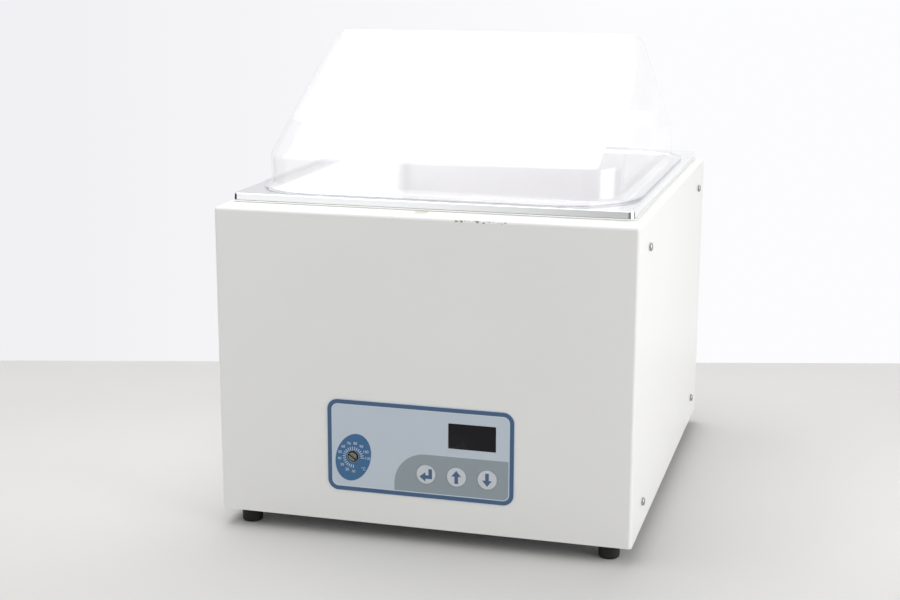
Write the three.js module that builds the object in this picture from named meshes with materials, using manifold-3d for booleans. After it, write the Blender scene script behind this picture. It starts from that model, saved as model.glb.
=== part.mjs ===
// Laboratory water bath: painted sheet case, drawn stainless tank, clear gable lid.
// Millimetres. +X to the right seen from the front, +Y to the back, +Z up.
// The origin lies on the bench, under the middle of the case.

import * as THREE from 'three';
import { mergeVertices } from 'three/addons/utils/BufferGeometryUtils.js';
import Module from 'manifold-3d';

const wasm = await Module();
wasm.setup();

// Clearances
const fitGap = 0.2;
const slideGap = 0.4;
const cutOverrun = 5;

// Tank: inside sizes at the mouth, with the flat flange and the lip turned down on the deck
const tankWidth = 295;
const tankLength = 336.5;
const tankDepth = 150;
const tankCorner = 30;
const tankDraft = 2;
const tankFloorRadius = 22;
const tankWall = 1;
const mouthRadius = 4;
const rimFlange = 17.25;
const rimHeight = 7;
const lipRise = 2.7;
const rimCorner = 5;
const rimEdgeRadius = 1.8;
const deckGap = 1.5;
const gasketWidth = 5;
const gasketInset = 0.5;

// Case: the painted deck left free round the rim sets its width and depth
const deckLeft = 4.5;
const deckRight = 9;
const deckFront = 28;
const deckBack = 1;
const sheetThickness = 1.2;
const sheetBend = 3;
const foldRadius = 3.4;
const rearFoldWidth = 14;
const plenumHeight = 88;
const panFlangeHeight = 29;

// Heater and insulation under and round the tank
const heaterThickness = 3;
const heaterMargin = 17;
const clampPlateThickness = 1.5;
const boardInsulation = 14;
const boardInsulationOverhang = 8;
const blanketThickness = 10;

// Cradle straps that carry the tank from the side walls
const strapWidth = 22;
const strapThickness = 1.5;
const strapBend = 4;

// Feet: rubber bumpers, each with a screw from below
const footHeight = 14;
const footRadius = 8.5;
const footEdge = 2;
const footInsetX = 20;
const footInsetY = 17;
const footRecessRadius = 4.4;
const footRecessDepth = 6;

// Screws: one pan-head size for the case, one for the feet
const screwHeadRadius = 3.4;
const screwHeadHeight = 2.2;
const screwShankRadius = 1.8;
const screwShankLength = 7;
const footScrewHeadRadius = 4;
const footScrewHeadHeight = 2.8;
const footScrewShankRadius = 2;
const sideScrewInsetFront = 51;
const sideScrewInsetBack = 40;
const sideScrewDrop = 23.5;
const sideScrewRise = 22;
const backScrewInset = 8;
const backScrewRise = 60;

// Lid: clear thermoformed cover with a gable roof, resting on the rim flange
const lidThickness = 2.8;
const lidRimGapX = 5;
const lidRimGapY = 5;
const lidFlangeCorner = 64;
const lidFlangeRunX = 11.25;
const lidFlangeRunY = 16.2;
const lidSkirtCorner = 30;
const lidSkirtHeight = 28;
const lidHeight = 122.5;
const lidEndLean = 10;
const lidRidgeFlat = 4;
const lidRidgeCorner = 10;
const lidFootRadius = 3;
const lidBendRadius = 6;
const lidTipShare = 0.9;

// Perforated shelf over the tank floor
const trayThickness = 1;
const trayHeight = 10;
const trayClearance = 4;
const trayCorner = 24;
const trayHoleRadius = 5;
const trayPitch = 34;
const trayEdge = 24;
const trayFingerRadius = 12;
const trayFingerInset = 23;
const trayLegWidth = 24;
const trayLegInset = 22;
const trayLegShare = 0.62;

// Front label with the window, the keys and the set screw of the limiter
const glueFilm = 0.1;
const labelThickness = 0.4;
const labelWidth = 156;
const labelHeight = 77.8;
const labelCorner = 9.5;
const labelRise = 25.5;
const windowWidth = 38.6;
const windowHeight = 20.5;
const windowFlange = 1.5;
const windowLedge = 2;
const windowXShare = 0.277;
const windowZShare = 0.197;
const keyRadius = 7.85;
const keyPitch = 25.2;
const keyZShare = -0.236;
const keyProud = 0.6;
const keyEdge = 0.3;
const keyTravel = 0.5;
const keyFlangeWidth = 1.4;
const keyFlangeThickness = 1.2;
const keyStemRadius = 2.5;
const dialXShare = -0.359;
const dialZShare = -0.116;
const dialHoleRadius = 5;

// Control board behind the label
const displayDepth = 8;
const displayMargin = 1;
const boardThickness = 1.6;
const boardMargin = 12;
const studInset = 4;
const studShoulderRadius = 3;
const studTipRadius = 1.5;
const studTipLength = 4.5;
const keySwitchSize = 6;
const keySwitchHeight = 4.3;
const keyPlungerRadius = 1.7;
const keyPlungerHeight = 1;
const connectorWidth = 24;
const connectorHeight = 9;
const connectorDepth = 9;

// Over-temperature limiter: housing, turning set screw, capillary and bulb
const limiterSize = 34;
const limiterDepth = 20;
const limiterBore = 10;
const limiterEarWidth = 44;
const limiterEarHeight = 14;
const limiterEarThickness = 2;
const limiterTabWidth = 6;
const limiterTabLength = 8;
const limiterTabThickness = 0.8;
const setScrewRadius = 3.5;
const setScrewProud = 1.4;
const setScrewSlotWidth = 1.2;
const setScrewSlotDepth = 1.6;
const capillaryRadius = 0.9;
const capillaryLead = 7;
const bulbLength = 80;
const probeLength = 46;
const leadRadius = 1.3;

// Back panel with vents, mains inlet, fuse drawer and rocker switch
const ventCount = 5;
const ventSlot = 4;
const ventPitch = 10;
const ventRise = 40;
const ventInset = 28;
const ventGap = 11;
const ventToSwitch = 48;
const serviceRise = 50;
const inletInset = 56;
const inletWidth = 30;
const inletHeight = 36;
const inletFlange = 2.4;
const inletLedge = 2;
const inletDepth = 24;
const inletCorner = 2;
const socketWidth = 24;
const socketHeight = 16.5;
const socketChamfer = 4.5;
const socketDepth = 16;
const socketWall = 3;
const pinWidth = 2;
const pinHeight = 4;
const pinLength = 14;
const pinSpacing = 7;
const pinOffset = 1.8;
const fuseDrawerWidth = 22;
const fuseDrawerHeight = 8.5;
const fuseDrawerDepth = 18;
const fuseDrawerLip = 1;
const fuseNotch = 3;
const switchSpacing = 52;
const switchWidth = 25;
const switchHeight = 32;
const switchBezel = 2;
const switchLedge = 1.8;
const switchDepth = 20;
const rockerWidth = 18;
const rockerHeight = 25;
const rockerCrest = 2.2;
const rockerValley = 0.3;
const rockerBack = 4;
const rockerPivotDepth = 1.2;
const rockerTilt = 10;
const trunnionRadius = 1.5;
const trunnionLength = 1;

// Devices on the base pan
const relayWidth = 45;
const relayLength = 58;
const relayHeight = 24;
const relayFootHeight = 3;
const relayFootLength = 7;
const relayXShare = 0.5;
const relayYShare = -0.15;
const coreWidth = 48;
const coreDepth = 18;
const coreHeight = 42;
const coilOverhang = 9;
const coilShare = 0.62;
const transformerXShare = -0.5;
const transformerYShare = -0.2;
const terminalPitch = 10;
const terminalCount = 5;
const terminalDepth = 18;
const terminalHeight = 16;
const terminalGroove = 2;
const terminalXShare = 0.5;
const terminalYShare = 0.45;
const panSlotCount = 4;
const panSlotLength = 60;
const panSlotWidth = 5;
const panSlotPitch = 18;
const panSlotYShare = 0.36;

// Facets
const cornerSteps = 5;
const lidSteps = 5;
const holeSides = 18;
const screwSides = 8;
const footSides = 14;
const keySides = 24;
const smallSides = 8;
const arcSteps = 3;
const leadSides = 5;
const leadSteps = 26;

// Looks
const looks = {
  casePaint: { color: 0xe3e3de, roughness: 0.45, metalness: 0 },
  zincSheet: { color: 0xb9bcbd, roughness: 0.4, metalness: 1 },
  stainless: { color: 0xc9cacb, roughness: 0.22, metalness: 1 },
  screwSteel: { color: 0xc4c5c7, roughness: 0.3, metalness: 1 },
  clearPlastic: { color: 0xf3f6f7, roughness: 0.06, metalness: 0, transparent: true, opacity: 0.3 },
  blackRubber: { color: 0x1e1e1f, roughness: 0.85, metalness: 0 },
  whiteSeal: { color: 0xe9e9e6, roughness: 0.6, metalness: 0 },
  insulation: { color: 0xd8d2bd, roughness: 0.95, metalness: 0 },
  heaterRubber: { color: 0xa8532f, roughness: 0.7, metalness: 0 },
  aluminium: { color: 0xbfc2c5, roughness: 0.35, metalness: 1 },
  labelFilm: { color: 0xb3b9c0, roughness: 0.35, metalness: 0 },
  keyFilm: { color: 0xbcc4cd, roughness: 0.35, metalness: 0 },
  darkWindow: { color: 0x202023, roughness: 0.12, metalness: 0 },
  blackPlastic: { color: 0x1b1c1e, roughness: 0.45, metalness: 0 },
  boardGreen: { color: 0x1f5a38, roughness: 0.5, metalness: 0 },
  copper: { color: 0xb87848, roughness: 0.3, metalness: 1 },
  brass: { color: 0xc6ac62, roughness: 0.3, metalness: 1 },
  leadSleeve: { color: 0xd9d9d4, roughness: 0.6, metalness: 0 },
  whitePlastic: { color: 0xe4e2da, roughness: 0.5, metalness: 0 },
};

// Sizes that follow from the ones above
const rimHalfX = tankWidth / 2 + rimFlange;
const rimHalfY = tankLength / 2 + rimFlange;
const lidFlangeHalfX = rimHalfX - lidRimGapX;
const lidFlangeHalfY = rimHalfY - lidRimGapY;
const lidSkirtHalfX = lidFlangeHalfX - lidFlangeRunX;
const lidSkirtHalfY = lidFlangeHalfY - lidFlangeRunY;
const caseWidth = 2 * rimHalfX + deckLeft + deckRight;
const caseDepth = 2 * rimHalfY + deckFront + deckBack;
const tankX = (deckLeft - deckRight) / 2;
const tankY = (deckFront - deckBack) / 2;
const tankFloor = rimHeight - tankDepth;
const tankUnderside = tankFloor - tankWall;
const heaterTop = tankUnderside - fitGap;
const clampTop = heaterTop - heaterThickness - fitGap;
const boardInsulationTop = clampTop - clampPlateThickness - fitGap;
const strapTop = boardInsulationTop - boardInsulation - fitGap;
const strapUnderside = strapTop - strapThickness;
const caseHeight = sheetThickness + plenumHeight - strapUnderside;
const caseBottom = footHeight;
const caseTop = caseBottom + caseHeight;
const caseFront = -caseDepth / 2;
const caseBack = caseDepth / 2;
const innerHalfWidth = caseWidth / 2 - sheetThickness;
const innerFront = caseFront + sheetThickness;
const innerTop = caseTop - sheetThickness;
const shellBack = caseBack - sheetThickness - fitGap;
const foldFront = shellBack - sheetThickness;
const panTop = caseBottom + sheetThickness;
const screwHoleRadius = screwShankRadius + fitGap;
const sideScrewYs = [caseFront + sideScrewInsetFront, caseBack - sideScrewInsetBack];
const sideScrewLow = caseBottom + sideScrewRise;
const sideScrewHigh = caseTop - sideScrewDrop;
const backScrewX = caseWidth / 2 - backScrewInset;
const backScrewZs = [caseBottom + backScrewRise, caseTop - backScrewRise];
const footX = caseWidth / 2 - footInsetX;
const footY = caseDepth / 2 - footInsetY;
const labelZ = caseBottom + labelRise + labelHeight / 2;
const labelFront = caseFront - glueFilm - labelThickness;
const windowX = labelWidth * windowXShare;
const windowZ = labelZ + labelHeight * windowZShare;
const keyZ = labelZ + labelHeight * keyZShare;
const keyXs = [windowX - 3 * keyPitch / 2, windowX - keyPitch / 2, windowX + keyPitch / 2];
const keyNames = ['enter', 'up', 'down'];
const keyFlangeRadius = keyRadius + keyFlangeWidth;
const dialX = labelWidth * dialXShare;
const dialZ = labelZ + labelHeight * dialZShare;
const boardFront = innerFront + windowFlange + displayDepth + 3 * fitGap;
const boardLeft = keyXs[0] - keyFlangeRadius - boardMargin;
const boardRight = Math.max(keyXs[2] + keyFlangeRadius, windowX + windowWidth / 2) + boardMargin;
const boardLow = keyZ - keyFlangeRadius - boardMargin / 2;
const boardHigh = windowZ + windowHeight / 2 + boardMargin;
const limiterFront = innerFront + fitGap;
const limiterBack = limiterFront + limiterDepth;
const limiterEarX = (limiterSize + limiterEarWidth) / 4;
const serviceZ = caseBottom + serviceRise;
const inletX = caseWidth / 2 - inletInset;
const switchX = inletX - switchSpacing;
const ventLeft = ventInset - caseWidth / 2;
const ventRight = switchX - switchWidth / 2 - ventToSwitch;
const ventWidth = (ventRight - ventLeft - ventGap) / 2;
const ventXs = [ventLeft + ventWidth / 2, ventRight - ventWidth / 2];

// Turns for outlines: drawn in Y-Z and pulled along X, or drawn in X-Z and pulled along Y
const xAxis = new THREE.Vector3(1, 0, 0);
const yAxis = new THREE.Vector3(0, 1, 0);
const zAxis = new THREE.Vector3(0, 0, 1);
const turnToX = new THREE.Matrix4().makeBasis(yAxis, zAxis, xAxis);
const turnToY = new THREE.Matrix4().makeBasis(xAxis, zAxis, yAxis.clone().negate());
const latheToZ = new THREE.Matrix4().makeBasis(xAxis, zAxis, yAxis.clone().negate());

// A closed mesh as a solid that can be cut and joined
function solidOf(geometry) {
  let welded = geometry;
  if (!geometry.userData.welded) {
    const bare = geometry.clone();
    bare.deleteAttribute('normal');
    bare.deleteAttribute('uv');
    welded = mergeVertices(bare);
  }
  const vertProperties = new Float32Array(welded.attributes.position.array);
  const triVerts = new Uint32Array(welded.index.array);
  return new wasm.Manifold(new wasm.Mesh({ numProp: 3, vertProperties, triVerts }));
}

function geometryOf(solid) {
  const mesh = solid.getMesh();
  const geometry = new THREE.BufferGeometry();
  const positions = new Float32Array(mesh.vertProperties);
  geometry.setAttribute('position', new THREE.BufferAttribute(positions, 3));
  geometry.setIndex(Array.from(mesh.triVerts));
  geometry.computeVertexNormals();
  geometry.userData.welded = true;
  return geometry;
}

function carve(body, tools) {
  const left = tools.reduce((solid, tool) => solid.subtract(solidOf(tool)), solidOf(body));
  return geometryOf(left);
}

function fuse(parts) {
  const [first, ...others] = parts;
  const whole = others.reduce((solid, part) => solid.add(solidOf(part)), solidOf(first));
  return geometryOf(whole);
}

// Box between two limits on each axis
function block({ x, y, z }) {
  const size = [x, y, z].map(([low, high]) => high - low);
  const middle = [x, y, z].map(([low, high]) => (low + high) / 2);
  return new THREE.BoxGeometry(...size).translate(...middle);
}

// Points of an arc, with angles in quarter turns from the first axis
function arcPoints({ across, up, radius, start, end, steps }) {
  return Array.from({ length: steps + 1 }, (_, i) => {
    const angle = (start + (end - start) * i / steps) * Math.PI / 2;
    return new THREE.Vector2(across + radius * Math.cos(angle), up + radius * Math.sin(angle));
  });
}

function circle(across, up, radius, sides = holeSides) {
  return arcPoints({ across, up, radius, start: 0, end: 4, steps: sides }).slice(1);
}

function roundedRect({ across = 0, up = 0, width, height, radius, steps = arcSteps }) {
  const sideways = width / 2 - radius;
  const upright = height / 2 - radius;
  const corners = [[1, 1], [-1, 1], [-1, -1], [1, -1]];
  return corners.flatMap(([right, top], quarter) => arcPoints({
    across: across + right * sideways,
    up: up + top * upright,
    radius,
    start: quarter,
    end: quarter + 1,
    steps,
  }));
}

// Outline with holes, pulled along one axis between two limits
function pull(axis, points, from, to, holes = []) {
  const outline = new THREE.Shape(points);
  outline.holes = holes.map((hole) => new THREE.Path(hole));
  const settings = { depth: to - from, bevelEnabled: false };
  const geometry = new THREE.ExtrudeGeometry(outline, settings);
  if (axis === 'x') return geometry.applyMatrix4(turnToX).translate(from, 0, 0);
  if (axis === 'y') return geometry.applyMatrix4(turnToY).translate(0, to, 0);
  return geometry.translate(0, 0, from);
}

function rod(axis, [across, up], radius, from, to, sides = holeSides) {
  return pull(axis, circle(across, up, radius, sides), from, to);
}

// Corner-rounded rectangle in plan, anticlockwise seen from above
function ringPoints({ halfX, halfY, radius, z }, steps) {
  const outline = roundedRect({ width: 2 * halfX, height: 2 * halfY, radius, steps });
  return outline.flatMap((point) => [point.x, point.y, z]);
}

// Skin through rings of equal count, capped at both ends, or closed into a loop
function loft(rings, steps = cornerSteps, loop = false) {
  const count = 4 * (steps + 1);
  const positions = new Float32Array(rings.flatMap((ring) => ringPoints(ring, steps)));
  const index = [];
  const bands = loop ? rings.length : rings.length - 1;
  for (let band = 0; band < bands; band++) {
    const low = band * count;
    const high = ((band + 1) % rings.length) * count;
    for (let i = 0; i < count; i++) {
      const next = (i + 1) % count;
      index.push(low + i, low + next, high + next, low + i, high + next, high + i);
    }
  }
  const last = (rings.length - 1) * count;
  for (let i = 1; i < count - 1 && !loop; i++) {
    index.push(0, i + 1, i, last, last + i, last + i + 1);
  }
  const geometry = new THREE.BufferGeometry();
  geometry.setAttribute('position', new THREE.BufferAttribute(positions, 3));
  geometry.setIndex(index);
  geometry.computeVertexNormals();
  geometry.userData.welded = true;
  return geometry;
}

// Rings of one quarter bend: the offset and the height turn about a common centre
function bendRings({ offset, z, radius, start, end, steps, ring }) {
  return arcPoints({ across: offset, up: z, radius, start, end, steps })
    .map((point) => ring(point.x, point.y));
}

// Turned piece about X, Y or Z, from radius and height pairs that start and end on the axis
function turned(axis, profile, sides) {
  const points = profile.map(([radius, height]) => new THREE.Vector2(radius, height));
  const geometry = new THREE.LatheGeometry(points, sides);
  if (axis === 'z') geometry.applyMatrix4(latheToZ);
  return geometry;
}

function piece(name, geometry, look, place = [0, 0, 0]) {
  const mesh = new THREE.Mesh(geometry, new THREE.MeshStandardMaterial(looks[look]));
  mesh.name = name;
  mesh.position.set(...place);
  return mesh;
}

// Pan-head screw: its head stands on the plane of the origin, its shank points down -Z
function panScrew(headRadius, headHeight, shankRadius, shankLength) {
  const dome = arcPoints({ across: 0, up: 0, radius: 1, start: 0, end: 1, steps: arcSteps - 1 });
  const headProfile = dome.slice(1).map(({ x, y }) => [headRadius * x, headHeight * (1 + y) / 2]);
  const head = [[headRadius, 0], [headRadius, headHeight / 2], ...headProfile.slice(0, -1)];
  const shank = [[0, -shankLength], [shankRadius, -shankLength], [shankRadius, 0]];
  return turned('z', [...shank, ...head, [0, headHeight]], screwSides);
}

// Case

// Block with the folded front, side and top edges of the case, inset all round
function foldedBlock(inset) {
  const bend = sheetBend - inset;
  const back = caseBack + cutOverrun + sheetBend;
  const front = caseFront + inset;
  const halfY = (back - front) / 2;
  const halfX = caseWidth / 2 - inset;
  const radius = foldRadius - inset;
  const top = caseTop - inset;
  const bottom = inset ? caseBottom - cutOverrun : caseBottom;
  const rings = [{ halfX, halfY, radius, z: bottom }];
  rings.push(...bendRings({
    offset: 0,
    z: top - bend,
    radius: bend,
    start: 0,
    end: 1,
    steps: arcSteps,
    ring: (offset, z) => ({
      halfX: halfX - bend + offset,
      halfY: halfY - bend + offset,
      radius: radius - bend + offset,
      z,
    }),
  }));
  return loft(rings, arcSteps).translate(0, (front + back) / 2, 0);
}

function labelHoles(extra) {
  const opening = roundedRect({
    across: windowX,
    up: windowZ,
    width: windowWidth + 2 * extra,
    height: windowHeight + 2 * extra,
    radius: keyEdge + extra,
  });
  const keyHoles = keyXs.map((x) => circle(x, keyZ, keyRadius + extra, keySides));
  return [opening, ...keyHoles, circle(dialX, dialZ, dialHoleRadius)];
}

function makeCaseShell() {
  const back = caseBack + cutOverrun + sheetBend + cutOverrun;
  const wide = caseWidth;
  const cavity = carve(foldedBlock(sheetThickness), [
    block({ x: [-wide, wide], y: [foldFront, back], z: [0, 2 * caseTop] }),
  ]);
  const rearOpening = roundedRect({
    up: caseBottom,
    width: 2 * (innerHalfWidth - rearFoldWidth),
    height: 2 * (innerTop - rearFoldWidth - caseBottom),
    radius: rearFoldWidth / 2,
  });
  const deckOpening = roundedRect({
    across: tankX,
    up: tankY,
    width: tankWidth + 2 * (tankWall + deckGap),
    height: tankLength + 2 * (tankWall + deckGap),
    radius: tankCorner + tankWall + deckGap,
    steps: cornerSteps,
  });
  const cuts = [
    block({ x: [-wide, wide], y: [shellBack, back], z: [0, 2 * caseTop] }),
    cavity,
    pull('y', rearOpening, foldFront - cutOverrun, back),
    pull('z', deckOpening, innerTop - cutOverrun, caseTop + cutOverrun),
  ];
  for (const hole of labelHoles(fitGap)) {
    cuts.push(pull('y', hole, caseFront - cutOverrun, innerFront + cutOverrun));
  }
  for (const y of sideScrewYs) {
    for (const z of [sideScrewLow, sideScrewHigh]) {
      cuts.push(rod('x', [y, z], screwHoleRadius, -wide, wide, smallSides));
    }
  }
  for (const side of [-1, 1]) {
    for (const z of backScrewZs) {
      const place = [side * backScrewX, z];
      cuts.push(rod('y', place, screwHoleRadius, foldFront - cutOverrun, back, smallSides));
    }
  }
  return piece('case_shell', fuse([carve(foldedBlock(0), cuts), ...weldStuds()]), 'casePaint');
}

// Studs welded to the inside of the front wall: four for the board, two for the limiter
function weldStuds() {
  const root = innerFront - sheetThickness / 2;
  const boardStuds = boardStudPlaces().flatMap((place) => [
    rod('y', place, studShoulderRadius, root, boardFront - fitGap, smallSides),
    rod('y', place, studTipRadius, root, boardFront + boardThickness + studTipLength, smallSides),
  ]);
  const limiterStuds = [-1, 1].map((side) => {
    const tip = limiterFront + limiterEarThickness + studTipLength;
    return rod('y', [dialX + side * limiterEarX, dialZ], studTipRadius, root, tip, smallSides);
  });
  return [...boardStuds, ...limiterStuds];
}

function boardStudPlaces() {
  const xs = [boardLeft + studInset, boardRight - studInset];
  const zs = [boardLow + studInset, boardHigh - studInset];
  return xs.flatMap((x) => zs.map((z) => [x, z]));
}

function makeBasePan() {
  const halfX = innerHalfWidth - fitGap;
  const front = innerFront + fitGap;
  const back = foldFront - fitGap;
  const top = caseBottom + panFlangeHeight;
  const outline = (inset) => roundedRect({
    up: (front + back) / 2,
    width: 2 * (halfX - inset),
    height: back - front - 2 * inset,
    radius: foldRadius - inset,
  });
  const body = pull('z', outline(0), caseBottom, top);
  const cuts = [pull('z', outline(sheetThickness), panTop, top + cutOverrun)];
  for (const y of sideScrewYs) {
    cuts.push(rod('x', [y, sideScrewLow], screwHoleRadius, -caseWidth, caseWidth, smallSides));
  }
  const footHole = footScrewShankRadius + fitGap;
  for (const [x, y] of footPlaces()) {
    cuts.push(rod('z', [x, y], footHole, 0, panTop + cutOverrun, smallSides));
  }
  for (const side of [-1, 1]) {
    for (let i = 0; i < panSlotCount; i++) {
      const slot = roundedRect({
        across: (i - (panSlotCount - 1) / 2) * panSlotPitch,
        up: side * panSlotYShare * caseDepth,
        width: panSlotWidth,
        height: panSlotLength,
        radius: panSlotWidth / 2 - fitGap,
        steps: arcSteps - 1,
      });
      cuts.push(pull('z', slot, 0, panTop + cutOverrun));
    }
  }
  return piece('base_pan', carve(body, cuts), 'zincSheet');
}

function makeBackPanel() {
  const outline = roundedRect({
    up: (caseBottom + caseTop) / 2,
    width: caseWidth,
    height: caseHeight,
    radius: sheetBend,
  });
  const holes = [];
  for (const side of [-1, 1]) {
    holes.push(...backScrewZs.map((z) => circle(side * backScrewX, z, screwHoleRadius, smallSides)));
  }
  for (const across of ventXs) {
    for (let i = 0; i < ventCount; i++) {
      holes.push(roundedRect({
        across,
        up: caseBottom + ventRise + i * ventPitch,
        width: ventWidth,
        height: ventSlot,
        radius: ventSlot / 2 - fitGap,
        steps: arcSteps - 1,
      }));
    }
  }
  holes.push(roundedRect({
    across: inletX,
    up: serviceZ,
    width: inletWidth - 2 * inletLedge + 2 * fitGap,
    height: inletHeight - 2 * inletLedge + 2 * fitGap,
    radius: inletCorner,
  }));
  holes.push(roundedRect({
    across: switchX,
    up: serviceZ,
    width: switchWidth - 2 * switchLedge + 2 * fitGap,
    height: switchHeight - 2 * switchLedge + 2 * fitGap,
    radius: inletCorner,
  }));
  return piece('back_panel', pull('y', outline, shellBack + fitGap, caseBack, holes), 'casePaint');
}

// Strap bent into a U: screwed to both side walls, passing under the tank
function makeCradle(name, y) {
  const halfX = innerHalfWidth - fitGap;
  const low = caseTop + strapUnderside;
  const high = sideScrewHigh + strapWidth / 2;
  const bend = (inset, side) => arcPoints({
    across: side * (halfX - strapBend),
    up: low + strapBend,
    radius: strapBend - inset,
    start: side < 0 ? 2 : 3,
    end: side < 0 ? 3 : 4,
    steps: arcSteps,
  });
  const point = (x, z) => new THREE.Vector2(x, z);
  const inner = [...bend(strapThickness, -1), ...bend(strapThickness, 1)].reverse();
  const outline = [
    point(-halfX, high),
    ...bend(0, -1),
    ...bend(0, 1),
    point(halfX, high),
    point(halfX - strapThickness, high),
    ...inner,
    point(strapThickness - halfX, high),
  ];
  const strap = pull('y', outline, y - strapWidth / 2, y + strapWidth / 2);
  const holes = rod('x', [y, sideScrewHigh], screwHoleRadius, -caseWidth, caseWidth, smallSides);
  return piece(name, carve(strap, [holes]), 'zincSheet');
}

// Feet and screws

function footPlaces() {
  return [[-footX, -footY], [footX, -footY], [-footX, footY], [footX, footY]];
}

const footNames = ['front_left', 'front_right', 'rear_left', 'rear_right'];

function makeFeet() {
  const top = footHeight - fitGap;
  const bore = footScrewShankRadius + slideGap;
  const edge = arcPoints({
    across: footRadius - footEdge,
    up: footEdge,
    radius: footEdge,
    start: -1,
    end: 0,
    steps: arcSteps,
  }).map(({ x, y }) => [x, y]);
  const profile = [
    [bore, footRecessDepth],
    [footRecessRadius, footRecessDepth],
    [footRecessRadius, 0],
    ...edge,
    [footRadius, top],
    [bore, top],
    [bore, footRecessDepth],
  ];
  return footPlaces().map(([x, y], i) => (
    piece(`foot_${footNames[i]}`, turned('z', profile, footSides), 'blackRubber', [x, y, 0])
  ));
}

function makeFootScrews() {
  const length = footHeight - footRecessDepth + sheetThickness + footScrewShankRadius;
  return footPlaces().map(([x, y], i) => {
    const screw = panScrew(footScrewHeadRadius, footScrewHeadHeight, footScrewShankRadius, length);
    const mesh = piece(`foot_screw_${footNames[i]}`, screw, 'screwSteel');
    mesh.position.set(x, y, footRecessDepth - fitGap);
    mesh.rotation.x = Math.PI;
    return mesh;
  });
}

function makeSideScrews() {
  const meshes = [];
  for (const [side, sideName] of [[-1, 'left'], [1, 'right']]) {
    sideScrewYs.forEach((y, row) => {
      [sideScrewLow, sideScrewHigh].forEach((z, level) => {
        const name = `side_screw_${sideName}_${['front', 'rear'][row]}_${['low', 'high'][level]}`;
        const screw = panScrew(screwHeadRadius, screwHeadHeight, screwShankRadius, screwShankLength);
        const mesh = piece(name, screw, 'screwSteel');
        mesh.position.set(side * (caseWidth / 2 + fitGap), y, z);
        mesh.rotation.y = side * Math.PI / 2;
        meshes.push(mesh);
      });
    });
  }
  return meshes;
}

function makeBackScrews() {
  const meshes = [];
  for (const [side, sideName] of [[-1, 'left'], [1, 'right']]) {
    backScrewZs.forEach((z, level) => {
      const name = `back_screw_${sideName}_${['low', 'high'][level]}`;
      const screw = panScrew(screwHeadRadius, screwHeadHeight, screwShankRadius, screwShankLength);
      const mesh = piece(name, screw, 'screwSteel');
      mesh.position.set(side * backScrewX, caseBack + fitGap, z);
      mesh.rotation.x = -Math.PI / 2;
      meshes.push(mesh);
    });
  }
  return meshes;
}

// Tank group: its origin is the middle of the tank, on the deck

// Ring of the tank wall: offset outwards from the inside face, at a height of the drafted wall
function wallRing(offset, z) {
  const depthShare = (rimHeight - mouthRadius - z) / (rimHeight - mouthRadius - tankFloor);
  const out = offset - tankDraft * Math.min(depthShare, 1);
  return {
    halfX: tankWidth / 2 + out,
    halfY: tankLength / 2 + out,
    radius: tankCorner + out,
    z,
  };
}

function rimRing(inset, z) {
  return { halfX: rimHalfX - inset, halfY: rimHalfY - inset, radius: rimCorner - inset, z };
}

function makeTank() {
  const floorBend = (radius, start, end) => bendRings({
    offset: 0,
    z: tankFloor + tankFloorRadius,
    radius,
    start,
    end,
    steps: arcSteps,
    ring: (reach, z) => ({ ...wallRing(reach - tankFloorRadius, tankFloor), z }),
  });
  const mouthBend = (radius, start, end) => bendRings({
    offset: mouthRadius,
    z: rimHeight - mouthRadius,
    radius,
    start,
    end,
    steps: arcSteps,
    ring: (offset, z) => ({ ...wallRing(offset, rimHeight - mouthRadius), z }),
  });
  const lipBend = (radius, start, end) => bendRings({
    offset: 0,
    z: rimHeight - rimEdgeRadius,
    radius,
    start,
    end,
    steps: arcSteps - 1,
    ring: (reach, z) => rimRing(rimEdgeRadius - reach, z),
  });
  const rings = [
    ...floorBend(tankFloorRadius + tankWall, -1, 0),
    ...mouthBend(mouthRadius - tankWall, 2, 1),
    ...lipBend(rimEdgeRadius - tankWall, 1, 0),
    rimRing(tankWall, lipRise),
    rimRing(0, lipRise),
    ...lipBend(rimEdgeRadius, 0, 1),
    ...mouthBend(mouthRadius, 1, 2),
    ...floorBend(tankFloorRadius, 0, -1),
  ];
  return piece('tank', loft(rings), 'stainless');
}

// Loop of rectangular section round the tank, between two half sizes
function loopBand(inner, outer, low, high) {
  return loft([{ ...outer, z: low }, { ...outer, z: high }, { ...inner, z: high }, { ...inner, z: low }],
    cornerSteps, true);
}

function makeRimGasket() {
  const outer = rimRing(tankWall + gasketInset, 0);
  const inner = { ...rimRing(tankWall + gasketInset + gasketWidth, 0), radius: outer.radius };
  return piece('rim_gasket', loopBand(inner, outer, fitGap, rimHeight - tankWall - fitGap), 'whiteSeal');
}

function makeTankBlanket() {
  const high = -sheetThickness - fitGap;
  const low = tankFloor;
  const inner = wallRing(tankWall + fitGap, high);
  const outer = wallRing(tankWall + fitGap + blanketThickness, high);
  return piece('tank_blanket', loopBand(inner, outer, low, high), 'insulation');
}

// Flat half sizes under the tank floor, inside its bend
function underTank(margin) {
  const flat = wallRing(-tankFloorRadius, tankFloor);
  return [flat.halfX - margin, flat.halfY - margin];
}

function slabUnderTank(name, margin, high, thickness, look) {
  const [halfX, halfY] = underTank(margin);
  const outline = roundedRect({ width: 2 * halfX, height: 2 * halfY, radius: rimCorner });
  return piece(name, pull('z', outline, high - thickness, high), look);
}

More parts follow.
